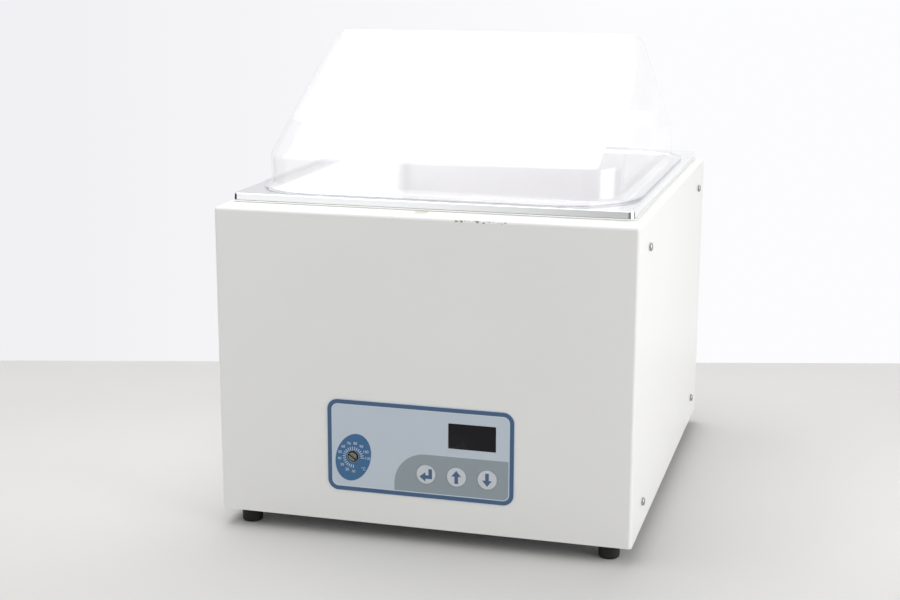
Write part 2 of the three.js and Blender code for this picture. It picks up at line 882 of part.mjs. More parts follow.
function makeTray() {
  const rise = tankFloorRadius - trayHeight;
  const bendInset = tankFloorRadius - Math.sqrt(tankFloorRadius ** 2 - rise ** 2);
  const edge = wallRing(-bendInset - trayClearance, tankFloor);
  const underside = tankFloor + trayHeight;
  const fingerX = edge.halfX - trayFingerInset;
  const nearFinger = (x, y) => (
    Math.hypot(Math.abs(x) - fingerX, y) < trayFingerRadius + 2 * trayHoleRadius
  );
  const columns = Math.floor((edge.halfX - trayEdge) / trayPitch);
  const rows = Math.floor((edge.halfY - trayEdge) / trayPitch);
  const holes = [-1, 1].map((side) => circle(side * fingerX, 0, trayFingerRadius));
  for (let i = -columns; i <= columns; i++) {
    for (let j = -rows; j <= rows; j++) {
      const x = i * trayPitch;
      const y = j * trayPitch;
      if (!nearFinger(x, y)) holes.push(circle(x, y, trayHoleRadius, smallSides));
    }
  }
  const outline = roundedRect({
    width: 2 * edge.halfX,
    height: 2 * edge.halfY,
    radius: trayCorner,
    steps: cornerSteps,
  });
  const legs = [-1, 1].flatMap((side) => [-1, 1].map((end) => {
    const y = end * trayLegShare * edge.halfY;
    const x = side * (edge.halfX - trayLegInset);
    return block({
      x: [x - trayThickness / 2, x + trayThickness / 2],
      y: [y - trayLegWidth / 2, y + trayLegWidth / 2],
      z: [tankFloor + fitGap, underside + trayThickness / 2],
    });
  }));
  const plate = pull('z', outline, underside, underside + trayThickness, holes);
  return piece('diffuser_tray', fuse([plate, ...legs]), 'stainless');
}

// Lid: the same gable drawn twice, outside and inset by the wall

// Ring of the roof or skirt: the end walls lean in with height, and their top corners are round
function lidRing(halfY, height, wall, endInset = 0) {
  const lean = Math.max(height - lidSkirtHeight, 0) / (lidHeight - lidSkirtHeight);
  const corner = lidSkirtCorner + lean * (lidRidgeCorner - lidSkirtCorner) - wall;
  return {
    halfX: lidSkirtHalfX - wall - lean * lidEndLean - endInset,
    halfY,
    radius: Math.min(corner, halfY * lidTipShare),
    z: rimHeight + fitGap + height,
  };
}

// Bend from the skirt to the roof, then the roof up to the ridge
function lidRoof(wall) {
  const slope = (lidHeight - lidSkirtHeight) / (lidSkirtHalfY - lidRidgeFlat / 2);
  const pitch = Math.atan(slope);
  const wallRun = wall / Math.sin(pitch);
  const turn = Math.PI / 2 - pitch;
  const eaves = bendRings({
    offset: lidSkirtHalfY - lidBendRadius,
    z: lidSkirtHeight - lidBendRadius * Math.tan(turn / 2),
    radius: lidBendRadius - wall,
    start: 0,
    end: turn / (Math.PI / 2),
    steps: arcSteps,
    ring: (halfY, height) => lidRing(halfY, height, wall),
  });
  const ridge = lidHeight - wallRun * slope;
  const endRadius = lidRidgeCorner - wall;
  const crown = bendRings({
    offset: 0,
    z: ridge - endRadius,
    radius: endRadius,
    start: 0,
    end: 1,
    steps: arcSteps,
    ring: (reach, height) => {
      const halfY = lidSkirtHalfY - (height - lidSkirtHeight) / slope - wallRun;
      return lidRing(halfY, height, wall, endRadius - reach);
    },
  });
  return [...eaves, ...crown];
}

function makeLid() {
  const base = rimHeight + fitGap;
  const flange = (height) => ({
    halfX: lidFlangeHalfX,
    halfY: lidFlangeHalfY,
    radius: lidFlangeCorner,
    z: base + height,
  });
  const foot = (radius, start, end) => bendRings({
    offset: lidFootRadius,
    z: base + lidThickness + lidFootRadius,
    radius,
    start,
    end,
    steps: arcSteps - 1,
    ring: (offset, z) => ({
      halfX: lidSkirtHalfX + offset,
      halfY: lidSkirtHalfY + offset,
      radius: lidSkirtCorner + offset,
      z,
    }),
  });
  const rings = [
    ...lidRoof(lidThickness).reverse(),
    ...foot(lidFootRadius + lidThickness, 2, 3),
    flange(0),
    flange(lidThickness),
    ...foot(lidFootRadius, 3, 2),
    ...lidRoof(0),
  ];
  return piece('lid', loft(rings, lidSteps), 'clearPlastic');
}

// Label, window, keys

function makeLabel() {
  const outline = roundedRect({
    up: labelZ,
    width: labelWidth,
    height: labelHeight,
    radius: labelCorner,
    steps: cornerSteps,
  });
  const film = pull('y', outline, labelFront, labelFront + labelThickness, labelHoles(fitGap));
  return piece('front_label', film, 'labelFilm');
}

function makeWindow() {
  const pane = (extra) => roundedRect({
    across: windowX,
    up: windowZ,
    width: windowWidth + 2 * extra,
    height: windowHeight + 2 * extra,
    radius: keyEdge + extra,
  });
  const ledgeFront = innerFront + fitGap;
  const ledgeBack = ledgeFront + windowFlange;
  const window = fuse([
    pull('y', pane(0), labelFront, ledgeBack),
    pull('y', pane(windowLedge), ledgeFront, ledgeBack),
  ]);
  return piece('display_window', window, 'darkWindow');
}

// Key cap held behind the front wall by its flange, with a stem over its switch
function makeKeys() {
  const flangeFront = innerFront + fitGap;
  const flangeBack = flangeFront + keyFlangeThickness;
  const capFront = labelFront - keyProud;
  const stemBack = boardFront - fitGap - keySwitchHeight - keyPlungerHeight - slideGap - keyTravel;
  const profile = [
    [0, capFront],
    [keyRadius - keyEdge, capFront],
    [keyRadius, capFront + keyEdge],
    [keyRadius, flangeFront],
    [keyFlangeRadius, flangeFront],
    [keyFlangeRadius, flangeBack],
    [keyStemRadius, flangeBack],
    [keyStemRadius, stemBack],
    [0, stemBack],
  ];
  return keyXs.map((x, i) => (
    piece(`key_${keyNames[i]}`, turned('y', profile, keySides), 'keyFilm', [x, 0, keyZ])
  ));
}

function makeKeySwitches() {
  const back = boardFront - fitGap;
  const front = back - keySwitchHeight;
  const half = keySwitchSize / 2;
  return keyXs.map((x, i) => {
    const body = fuse([
      block({ x: [x - half, x + half], y: [front, back], z: [keyZ - half, keyZ + half] }),
      rod('y', [x, keyZ], keyPlungerRadius, front - keyPlungerHeight, back - half, smallSides),
    ]);
    return piece(`key_switch_${keyNames[i]}`, body, 'blackPlastic');
  });
}

function makeDisplay() {
  const front = innerFront + windowFlange + 2 * fitGap;
  const halfX = windowWidth / 2 - displayMargin;
  const halfZ = windowHeight / 2 - displayMargin;
  const module = block({
    x: [windowX - halfX, windowX + halfX],
    y: [front, front + displayDepth],
    z: [windowZ - halfZ, windowZ + halfZ],
  });
  return piece('display_module', module, 'blackPlastic');
}

// Board with its lead socket and relay driver, on the four studs of the front wall
const boardConnectorX = (boardLeft + boardRight) / 2;

function makeBoard() {
  const middle = { across: boardConnectorX, up: (boardLow + boardHigh) / 2 };
  const outline = roundedRect({
    ...middle,
    width: boardRight - boardLeft,
    height: boardHigh - boardLow,
    radius: studTipRadius,
  });
  const holes = boardStudPlaces().map(([x, z]) => circle(x, z, studTipRadius + fitGap, smallSides));
  const back = boardFront + boardThickness;
  const connector = block({
    x: [middle.across - connectorWidth / 2, middle.across + connectorWidth / 2],
    y: [back - boardThickness / 2, back + connectorDepth],
    z: [middle.up - connectorHeight / 2, middle.up + connectorHeight / 2],
  });
  const board = pull('y', outline, boardFront, back, holes);
  return piece('control_board', fuse([board, connector]), 'boardGreen');
}

// Over-temperature limiter

function makeLimiter() {
  const half = limiterSize / 2;
  const ear = roundedRect({
    across: dialX,
    up: dialZ,
    width: limiterEarWidth,
    height: limiterEarHeight,
    radius: studTipRadius,
  });
  const housing = roundedRect({
    across: dialX,
    up: dialZ,
    width: limiterSize,
    height: limiterSize,
    radius: studTipRadius,
  });
  const tabs = [-1, 1].map((side) => block({
    x: [dialX + side * half / 2 - limiterTabWidth / 2, dialX + side * half / 2 + limiterTabWidth / 2],
    y: [limiterBack - limiterTabThickness, limiterBack + limiterTabLength],
    z: [dialZ - half / 2, dialZ - half / 2 + limiterTabThickness],
  }));
  const body = fuse([
    pull('y', ear, limiterFront, limiterFront + limiterEarThickness),
    pull('y', housing, limiterFront, limiterBack),
    ...tabs,
  ]);
  const bore = rod(
    'y',
    [dialX, dialZ],
    setScrewRadius + slideGap,
    limiterFront - cutOverrun,
    limiterFront + limiterBore,
  );
  const studHoles = [-1, 1].map((side) => rod(
    'y',
    [dialX + side * limiterEarX, dialZ],
    studTipRadius + fitGap,
    limiterFront - cutOverrun,
    limiterFront + limiterEarThickness + cutOverrun,
    smallSides,
  ));
  return piece('limiter_housing', carve(body, [bore, ...studHoles]), 'blackPlastic');
}

// Slotted set screw that turns the limiter: its slot lies level at rest
function makeSetScrew() {
  const front = labelFront - setScrewProud;
  const back = limiterFront + limiterBore - slideGap;
  const shaft = rod('y', [0, 0], setScrewRadius, front, back);
  const slot = block({
    x: [-2 * setScrewRadius, 2 * setScrewRadius],
    y: [front - cutOverrun, front + setScrewSlotDepth],
    z: [-setScrewSlotWidth / 2, setScrewSlotWidth / 2],
  });
  return piece('limiter_set_screw', carve(shaft, [slot]), 'screwSteel', [dialX, 0, dialZ]);
}

// Sensors lie between the tank floor and the insulation board, beside the heater
const sensorX = underTank(heaterMargin / 2)[0];
const sensorZ = (tankUnderside + boardInsulationTop) / 2;
const sensorRadius = (tankUnderside - boardInsulationTop) / 2 - fitGap;
const laneFront = tankY - underTank(heaterMargin)[1];

function tube(points, radius) {
  const path = new THREE.CatmullRomCurve3(points.map((point) => new THREE.Vector3(...point)));
  const outline = new THREE.Shape(circle(0, 0, radius, leadSides));
  const settings = { steps: leadSteps, extrudePath: path, bevelEnabled: false };
  return new THREE.ExtrudeGeometry(outline, settings);
}

function makeCapillary() {
  const bulbX = tankX - sensorX;
  const bulbZ = caseTop + sensorZ;
  const bulbFront = tankY - bulbLength;
  const start = [dialX, limiterBack + fitGap, dialZ + limiterSize / 4];
  const behind = limiterBack + capillaryLead;
  const route = [
    start,
    [dialX, behind, start[2] + capillaryRadius],
    [dialX - capillaryLead, behind + capillaryRadius, (start[2] + bulbZ) / 2],
    [dialX - 2 * capillaryLead, behind + capillaryLead, bulbZ - capillaryLead],
    [(dialX + bulbX) / 2, laneFront - 3 * capillaryLead, bulbZ],
    [bulbX, laneFront, bulbZ],
    [bulbX, (laneFront + bulbFront) / 2, bulbZ],
    [bulbX, bulbFront + capillaryLead, bulbZ],
  ];
  const bulb = rod('y', [bulbX, bulbZ], sensorRadius, bulbFront, bulbFront + bulbLength, smallSides);
  return piece('limiter_bulb', fuse([tube(route, capillaryRadius), bulb]), 'copper');
}

function makeProbe() {
  const place = [tankX + sensorX, caseTop + sensorZ];
  const front = tankY - probeLength / 2;
  const probe = rod('y', place, sensorRadius, front, front + probeLength, smallSides);
  return piece('temperature_probe', probe, 'stainless');
}

function makeProbeLead() {
  const x = tankX + sensorX;
  const z = caseTop + sensorZ;
  const plug = [
    boardConnectorX,
    boardFront + boardThickness + connectorDepth + fitGap,
    (boardLow + boardHigh) / 2,
  ];
  const drop = capillaryLead;
  const route = [
    [x, tankY - probeLength / 2 - fitGap, z],
    [x, (tankY - probeLength + laneFront) / 2, z],
    [x, laneFront, z],
    [(x + plug[0]) / 2, laneFront - 3 * drop, z - leadRadius / 2],
    [plug[0] + 2 * drop, plug[1] + 2 * drop, z - drop],
    [plug[0] + drop / 2, plug[1] + drop + leadRadius, (z + plug[2]) / 2],
    [plug[0], plug[1] + drop, plug[2] + leadRadius],
    plug,
  ];
  return piece('probe_lead', tube(route, leadRadius), 'leadSleeve');
}

// Rear services

function inletStack() {
  const height = socketHeight + socketWall + fuseDrawerHeight;
  return {
    socketZ: serviceZ + (height - socketHeight) / 2,
    drawerZ: serviceZ - (height - fuseDrawerHeight) / 2,
  };
}

function pinPlaces() {
  const { socketZ } = inletStack();
  return [
    ['line', inletX - pinSpacing, socketZ - pinOffset],
    ['earth', inletX, socketZ + pinOffset],
    ['neutral', inletX + pinSpacing, socketZ - pinOffset],
  ];
}

// Outline of the appliance socket: two corners are cut off
function socketOutline() {
  const { socketZ } = inletStack();
  const halfX = socketWidth / 2;
  const halfZ = socketHeight / 2;
  const corners = [
    [-halfX, -halfZ],
    [halfX, -halfZ],
    [halfX, halfZ - socketChamfer],
    [halfX - socketChamfer, halfZ],
    [socketChamfer - halfX, halfZ],
    [-halfX, halfZ - socketChamfer],
  ];
  return corners.map(([x, z]) => new THREE.Vector2(inletX + x, socketZ + z));
}

function rearRect(x, z, width, height, radius) {
  return roundedRect({ across: x, up: z, width, height, radius, steps: arcSteps - 1 });
}

function pinBlock([, x, z], extra, from, to) {
  return block({
    x: [x - pinWidth / 2 - extra, x + pinWidth / 2 + extra],
    y: [from, to],
    z: [z - pinHeight / 2 - extra, z + pinHeight / 2 + extra],
  });
}

function makeInlet() {
  const face = caseBack + fitGap + inletFlange;
  const back = face - inletFlange - inletDepth;
  const { drawerZ } = inletStack();
  const outer = [inletWidth, inletHeight];
  const inner = outer.map((size) => size - 2 * inletLedge);
  const body = fuse([
    pull('y', rearRect(inletX, serviceZ, ...outer, inletCorner), face - inletFlange, face),
    pull('y', rearRect(inletX, serviceZ, ...inner, inletCorner - fitGap), back, face),
  ]);
  const drawerHole = block({
    x: [inletX - fuseDrawerWidth / 2 - fitGap, inletX + fuseDrawerWidth / 2 + fitGap],
    y: [face - fuseDrawerDepth - slideGap, face + cutOverrun],
    z: [drawerZ - fuseDrawerHeight / 2 - fitGap, drawerZ + fuseDrawerHeight / 2 + fitGap],
  });
  const socket = pull('y', socketOutline(), face - socketDepth, face + cutOverrun);
  const pinHoles = pinPlaces().map((place) => (
    pinBlock(place, fitGap, back - cutOverrun, face - socketDepth + cutOverrun)
  ));
  return piece('mains_inlet', carve(body, [drawerHole, socket, ...pinHoles]), 'blackPlastic');
}

function makePins() {
  const face = caseBack + fitGap + inletFlange;
  const tip = face - socketDepth + pinLength;
  const tail = face - inletFlange - inletDepth - pinHeight;
  return pinPlaces().map((place) => (
    piece(`inlet_pin_${place[0]}`, pinBlock(place, 0, tail, tip), 'brass')
  ));
}

function makeFuseDrawer() {
  const face = caseBack + fitGap + inletFlange;
  const { drawerZ } = inletStack();
  const halfX = fuseDrawerWidth / 2;
  const halfZ = fuseDrawerHeight / 2;
  const tray = block({
    x: [inletX - halfX, inletX + halfX],
    y: [face - fuseDrawerDepth, face + fitGap + fuseDrawerLip / 2],
    z: [drawerZ - halfZ, drawerZ + halfZ],
  });
  const lip = rearRect(
    inletX,
    drawerZ,
    fuseDrawerWidth + 2 * fuseDrawerLip,
    fuseDrawerHeight + 2 * fuseDrawerLip,
    fuseDrawerLip,
  );
  const wall = fuseDrawerLip;
  const pocket = block({
    x: [inletX - halfX + wall, inletX + halfX - wall],
    y: [face - fuseDrawerDepth + wall, face - wall],
    z: [drawerZ - halfZ + wall, drawerZ + halfZ + cutOverrun],
  });
  const notch = rod(
    'x',
    [face + fitGap + fuseDrawerLip, drawerZ + halfZ + fuseDrawerLip],
    fuseNotch / 2,
    inletX - fuseNotch,
    inletX + fuseNotch,
    smallSides,
  );
  const body = fuse([
    carve(tray, [pocket]),
    pull('y', lip, face + fitGap, face + fitGap + fuseDrawerLip),
  ]);
  return piece('fuse_drawer', carve(body, [notch]), 'blackPlastic');
}

const rockerPivotY = caseBack + fitGap + switchBezel - rockerPivotDepth;
const rockerAngle = THREE.MathUtils.degToRad(rockerTilt);

function makeSwitchHousing() {
  const face = caseBack + fitGap + switchBezel;
  const back = face - switchBezel - switchDepth;
  const outer = [switchWidth, switchHeight];
  const inner = outer.map((size) => size - 2 * switchLedge);
  const body = fuse([
    pull('y', rearRect(switchX, serviceZ, ...outer, inletCorner), face - switchBezel, face),
    pull('y', rearRect(switchX, serviceZ, ...inner, inletCorner - fitGap), back, face),
  ]);
  const halfX = rockerWidth / 2 + slideGap;
  const halfZ = Math.hypot(rockerHeight / 2, rockerBack) + slideGap;
  const swing = rockerBack * Math.cos(rockerAngle) + rockerHeight / 2 * Math.sin(rockerAngle);
  const pocket = block({
    x: [switchX - halfX, switchX + halfX],
    y: [rockerPivotY - swing - slideGap, face + cutOverrun],
    z: [serviceZ - halfZ, serviceZ + halfZ],
  });
  const pinHole = rod(
    'x',
    [rockerPivotY, serviceZ],
    trunnionRadius + slideGap,
    switchX - switchWidth / 2,
    switchX + switchWidth / 2,
    smallSides,
  );
  return piece('switch_housing', carve(body, [pocket, pinHole]), 'blackPlastic');
}

// Rocker with a shallow valley across its face, turning on two trunnions; off at rest
function makeRocker() {
  const halfZ = rockerHeight / 2;
  const profile = [
    [-rockerBack, -halfZ],
    [rockerCrest, -halfZ],
    [rockerValley, 0],
    [rockerCrest, halfZ],
    [-rockerBack, halfZ],
  ].map(([y, z]) => new THREE.Vector2(y, z));
  const reach = rockerWidth / 2 + trunnionLength;
  const rocker = fuse([
    pull('x', profile, -rockerWidth / 2, rockerWidth / 2),
    rod('x', [0, 0], trunnionRadius, -reach, reach, smallSides),
  ]);
  const mesh = piece('power_rocker', rocker, 'blackPlastic', [switchX, rockerPivotY, serviceZ]);
  mesh.rotation.x = -rockerAngle;
  return mesh;
}

// Devices on the base pan

function onPan(xShare, yShare) {
  return [caseWidth / 2 * xShare, caseDepth / 2 * yShare, panTop + fitGap];
}

function makeRelay() {
  const half = relayWidth / 2;
  const bodyHalf = relayLength / 2 - relayFootLength;
  const relay = fuse([
    block({ x: [-half, half], y: [-bodyHalf, bodyHalf], z: [0, relayHeight] }),
    block({ x: [-half / 2, half / 2], y: [-relayLength / 2, relayLength / 2], z: [0, relayFootHeight] }),
  ]);
  return piece('heater_relay', relay, 'blackPlastic', onPan(relayXShare, relayYShare));
}

function makeTransformer() {
  const half = coreWidth / 2;
  const coilHalf = half * coilShare;
  const coilRise = coreHeight * (1 - coilShare) / 2;
  const transformer = fuse([
    block({ x: [-half, half], y: [-coreDepth / 2, coreDepth / 2], z: [0, coreHeight] }),
    block({
      x: [-coilHalf, coilHalf],
      y: [-coreDepth / 2 - coilOverhang, coreDepth / 2 + coilOverhang],
      z: [coilRise, coreHeight - coilRise],
    }),
  ]);
  return piece('transformer', transformer, 'copper', onPan(transformerXShare, transformerYShare));
}

function makeTerminals() {
  const halfX = terminalPitch * terminalCount / 2;
  const halfY = terminalDepth / 2;
  const grooves = Array.from({ length: terminalCount - 1 }, (_, i) => {
    const x = (i + 1) * terminalPitch - halfX;
    return block({
      x: [x - terminalGroove / 2, x + terminalGroove / 2],
      y: [-halfY - cutOverrun, halfY + cutOverrun],
      z: [terminalHeight / 2, terminalHeight + cutOverrun],
    });
  });
  const bar = block({ x: [-halfX, halfX], y: [-halfY, halfY], z: [0, terminalHeight] });
  const place = onPan(terminalXShare, terminalYShare);
  return piece('terminal_block', carve(bar, grooves), 'whitePlastic', place);
}

function terminalMouth(index) {
  const [x, y, z] = onPan(terminalXShare, terminalYShare);
  const across = x + (index - (terminalCount - 1) / 2) * terminalPitch;
  return [across, y + terminalDepth / 2 + fitGap, z + terminalHeight / 4];
}

function makeHeaterLead() {
  const mouth = terminalMouth(1);
  const edge = tankY + underTank(heaterMargin)[1];
  const level = caseTop + heaterTop - heaterThickness / 2;
  const behind = caseBack - sideScrewInsetBack + strapWidth / 2 + capillaryLead;
  const route = [
    [tankX, edge + fitGap, level],
    [tankX, (edge + behind) / 2, level],
    [tankX + leadRadius, behind - leadRadius, level - leadRadius],
    [tankX + capillaryLead, behind, level - 2 * capillaryLead],
    [(tankX + mouth[0]) / 2, (behind + mouth[1]) / 2 + capillaryLead, (level + mouth[2]) / 2],
    [mouth[0], mouth[1] + 3 * capillaryLead, mouth[2] + capillaryLead],
    [mouth[0], mouth[1] + capillaryLead, mouth[2]],
    mouth,
  ];
  return piece('heater_lead', tube(route, leadRadius), 'leadSleeve');
}

function makeSupplyLead() {
  const mouth = terminalMouth(terminalCount - 1);
  const start = [switchX, caseBack - switchDepth, serviceZ];
  const route = [
    start,
    [start[0], start[1] - capillaryLead, start[2]],
    [(start[0] + mouth[0]) / 2, (start[1] + mouth[1]) / 2, (start[2] + mouth[2]) / 2 + capillaryLead],
    [mouth[0], mouth[1] + 2 * capillaryLead, mouth[2] + leadRadius],
    [mouth[0], mouth[1] + capillaryLead, mouth[2]],
    mouth,
  ];
  return piece('supply_lead', tube(route, leadRadius), 'leadSleeve');
}

const tankGroup = new THREE.Group();
tankGroup.position.set(tankX, tankY, caseTop);
tankGroup.add(
  makeTank(),
  makeRimGasket(),
  makeTankBlanket(),
  slabUnderTank('heater_mat', heaterMargin, heaterTop, heaterThickness, 'heaterRubber'),
  slabUnderTank('heater_clamp_plate', heaterMargin, clampTop, clampPlateThickness, 'aluminium'),
  slabUnderTank(
    'insulation_board',
    -boardInsulationOverhang,
    boardInsulationTop,
    boardInsulation,
    'insulation',
  ),
  makeTray(),
  makeLid(),
);

const waterBath = new THREE.Group();
waterBath.add(
  makeCaseShell(),
  makeBackPanel(),
  makeBasePan(),
  makeCradle('front_cradle', sideScrewYs[0]),
  makeCradle('rear_cradle', sideScrewYs[1]),
  ...makeFeet(),
  ...makeFootScrews(),
  ...makeSideScrews(),
  ...makeBackScrews(),
  tankGroup,
  makeLabel(),
  makeWindow(),
  ...makeKeys(),
  ...makeKeySwitches(),
  makeDisplay(),
  makeBoard(),
  makeLimiter(),
  makeSetScrew(),
  makeCapillary(),
  makeProbe(),
  makeProbeLead(),
  makeInlet(),
  ...makePins(),
  makeFuseDrawer(),
  makeSwitchHousing(),
  makeRocker(),
  makeRelay(),
  makeTransformer(),
  makeTerminals(),
  makeHeaterLead(),
  makeSupplyLead(),
);

export default waterBath;
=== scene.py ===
import math

import bmesh
import bpy
from mathutils import Matrix, Vector


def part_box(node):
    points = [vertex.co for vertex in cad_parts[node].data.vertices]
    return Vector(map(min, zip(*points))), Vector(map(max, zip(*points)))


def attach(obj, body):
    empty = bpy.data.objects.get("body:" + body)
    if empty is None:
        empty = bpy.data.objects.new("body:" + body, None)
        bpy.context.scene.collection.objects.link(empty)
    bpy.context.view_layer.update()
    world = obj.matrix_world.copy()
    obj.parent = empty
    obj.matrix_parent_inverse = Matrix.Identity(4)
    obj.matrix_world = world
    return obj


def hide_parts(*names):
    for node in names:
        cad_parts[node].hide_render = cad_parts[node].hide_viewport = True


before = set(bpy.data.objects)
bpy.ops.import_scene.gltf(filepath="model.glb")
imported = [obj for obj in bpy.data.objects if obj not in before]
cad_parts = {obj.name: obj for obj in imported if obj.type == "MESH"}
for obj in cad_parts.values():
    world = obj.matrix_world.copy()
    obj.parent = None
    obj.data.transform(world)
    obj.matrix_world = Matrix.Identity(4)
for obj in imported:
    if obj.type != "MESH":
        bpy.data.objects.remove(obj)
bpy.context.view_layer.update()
scene = bpy.context.scene
mm = 0.001  # pieces are drawn in millimetres and scaled once, when they are placed
mergeWithin = 1e-4  # corners closer than this, in millimetres, become one


# Colours and shader sums

def tint(red, green, blue):
    # A colour as a painter reads it off a swatch, 0 to 255, turned to the renderer's linear scale
    def linear(value):
        value = value / 255
        return value / 12.92 if value <= 0.04045 else ((value + 0.055) / 1.055) ** 2.4
    return (linear(red), linear(green), linear(blue), 1.0)


def scaled(colour, factor):
    return tuple(min(channel * factor, 1.0) for channel in colour[:3]) + (1.0,)


class Signal:
    # One output socket, so that sums on it can be written out plainly
    def __init__(self, graph, socket):
        self.graph = graph
        self.socket = socket

    def sum(self, operation, left, right=0.0):
        return self.graph.node("ShaderNodeMath", {"operation": operation}, {0: left, 1: right})

    def __add__(self, other):
        return self.sum("ADD", self, other)

    def __radd__(self, other):
        return self.sum("ADD", other, self)

    def __sub__(self, other):
        return self.sum("SUBTRACT", self, other)

    def __rsub__(self, other):
        return self.sum("SUBTRACT", other, self)

    def __mul__(self, other):
        return self.sum("MULTIPLY", self, other)

    def __rmul__(self, other):
        return self.sum("MULTIPLY", other, self)

    def over(self, limit):
        return self.sum("GREATER_THAN", self, limit)

    def under(self, limit):
        return self.sum("LESS_THAN", self, limit)

    def most(self, other):
        return self.sum("MAXIMUM", self, other)

    def size(self):
        return self.sum("ABSOLUTE", self)

    def within(self, low, high):
        return self.over(low) * self.under(high)

    def ramp(self, low, high):
        # 0 below low, 1 above high, straight between
        sockets = {"Value": self, "From Min": low, "From Max": high}
        return self.graph.node("ShaderNodeMapRange", {"clamp": True}, sockets)


class Graph:
    # The nodes of a finish or of the sky: every one of them comes from node()
    def __init__(self, tree):
        self.nodes = tree.nodes
        self.links = tree.links

    def node(self, kind, settings, sockets, output=0):
        made = self.nodes.new(kind)
        for setting, value in settings.items():
            setattr(made, setting, value)
        for socket, value in sockets.items():
            self.feed(made.inputs[socket], value)
        return Signal(self, made.outputs[output])

    def feed(self, socket, value):
        if isinstance(value, Signal):
            self.links.new(value.socket, socket)
        else:
            socket.default_value = value

    def mix(self, factor, first, second):
        sockets = {0: factor, 6: first, 7: second}
        return self.node("ShaderNodeMix", {"data_type": "RGBA"}, sockets, 2)

    def ray(self, kind):
        return self.node("ShaderNodeLightPath", {}, {}, f"Is {kind} Ray")


class Surface(Graph):
    def __init__(self, name, constants):
        self.material = bpy.data.materials.new(name)
        self.material.use_nodes = True
        super().__init__(self.material.node_tree)
        self.shader = self.nodes["Principled BSDF"]
        for socket, value in constants.items():
            self.shader.inputs[socket].default_value = value

    def give(self, socket, value):
        self.feed(self.shader.inputs[socket], value)

    def place(self, location=(0, 0, 0), rotation=(0, 0, 0), scale=(1, 1, 1)):
        spot = self.node("ShaderNodeTexCoord", {}, {}, "Object")
        sockets = {"Vector": spot, "Location": location, "Rotation": rotation, "Scale": scale}
        return self.node("ShaderNodeMapping", {"vector_type": "POINT"}, sockets)

    def axes(self):
        spot = self.place()
        split = self.node("ShaderNodeSeparateXYZ", {}, {"Vector": spot})
        made = split.socket.node
        return [Signal(self, made.outputs[axis]) for axis in range(3)]

    def noise(self, scale, detail=3.0, roughness=0.55, spot=None):
        sockets = {"Vector": spot or self.place(), "Scale": scale, "Detail": detail}
        sockets["Roughness"] = roughness
        return self.node("ShaderNodeTexNoise", {"noise_dimensions": "3D"}, sockets)

    def cells(self, scale, output="Distance"):
        sockets = {"Vector": self.place(), "Scale": scale}
        return self.node("ShaderNodeTexVoronoi", {"feature": "F1"}, sockets, output)

    def waves(self, scale, direction):
        settings = {"wave_type": "BANDS", "bands_direction": direction}
        return self.node("ShaderNodeTexWave", settings, {"Vector": self.place(), "Scale": scale}, "Fac")

    def shades(self, blend, base, drift):
        # A colour that wanders between a little darker and a little lighter
        return self.mix(blend, scaled(base, 1 - drift), scaled(base, 1 + drift))

    def bump(self, height, depth, strength=1.0):
        # Depth is the relief's height in metres
        sockets = {"Strength": strength, "Distance": depth, "Height": height}
        self.give("Normal", self.node("ShaderNodeBump", {}, sockets))


# Plain finishes: base colour, how far it drifts, gloss, metal, and grain with its depth

plainFinishes = {
    "zinc_sheet": dict(base=(176, 180, 183), drift=0.10, gloss=0.34, metal=1.0, grain=90, depth=6e-6),
    "screw_steel": dict(base=(170, 170, 168), drift=0.08, gloss=0.27, metal=1.0, grain=700, depth=3e-6),
    "worn_screw": dict(base=(128, 130, 118), drift=0.16, gloss=0.42, metal=1.0, grain=900, depth=8e-6),
    "black_rubber": dict(base=(10, 10, 11), drift=0.16, gloss=0.72, metal=0.0, grain=1500, depth=1.6e-5),
    "white_seal": dict(base=(251, 251, 249), drift=0.02, gloss=0.35, metal=0.0, grain=1400, depth=6e-5),
    "insulation": dict(base=(226, 217, 178), drift=0.18, gloss=0.95, metal=0.0, grain=420, depth=3e-4),
    "heater_rubber": dict(base=(186, 84, 44), drift=0.08, gloss=0.60, metal=0.0, grain=1100, depth=3e-5),
    "aluminium": dict(base=(202, 204, 206), drift=0.05, gloss=0.36, metal=1.0, grain=800, depth=3e-6),
    "black_plastic": dict(base=(31, 32, 34), drift=0.10, gloss=0.46, metal=0.0, grain=2200, depth=1.2e-5),
    "copper": dict(base=(196, 122, 84), drift=0.10, gloss=0.30, metal=1.0, grain=500, depth=4e-6),
    "brass": dict(base=(206, 178, 112), drift=0.07, gloss=0.24, metal=1.0, grain=900, depth=2e-6),
    "lead_sleeve": dict(base=(206, 202, 192), drift=0.09, gloss=0.52, metal=0.0, grain=900, depth=2e-5),
    "white_plastic": dict(base=(226, 225, 219), drift=0.05, gloss=0.40, metal=0.0, grain=1800, depth=8e-6),
}


plainGrain = dict(patch=12, patchShare=0.6, fineShare=0.4, wander=0.14)


def plainFinish(name, base, drift, gloss, metal, grain, depth):
    spec = plainGrain
    surface = Surface(name, {"Metallic": metal})
    patches = surface.noise(grain / spec["patch"], 2.0)
    fine = surface.noise(grain, 4.0)
    blend = patches * spec["patchShare"] + fine * spec["fineShare"]
    surface.give("Base Color", surface.shades(blend, tint(*base), drift))
    surface.give("Roughness", gloss + (fine - 0.5) * spec["wander"])
    surface.bump(fine, depth)
    return surface


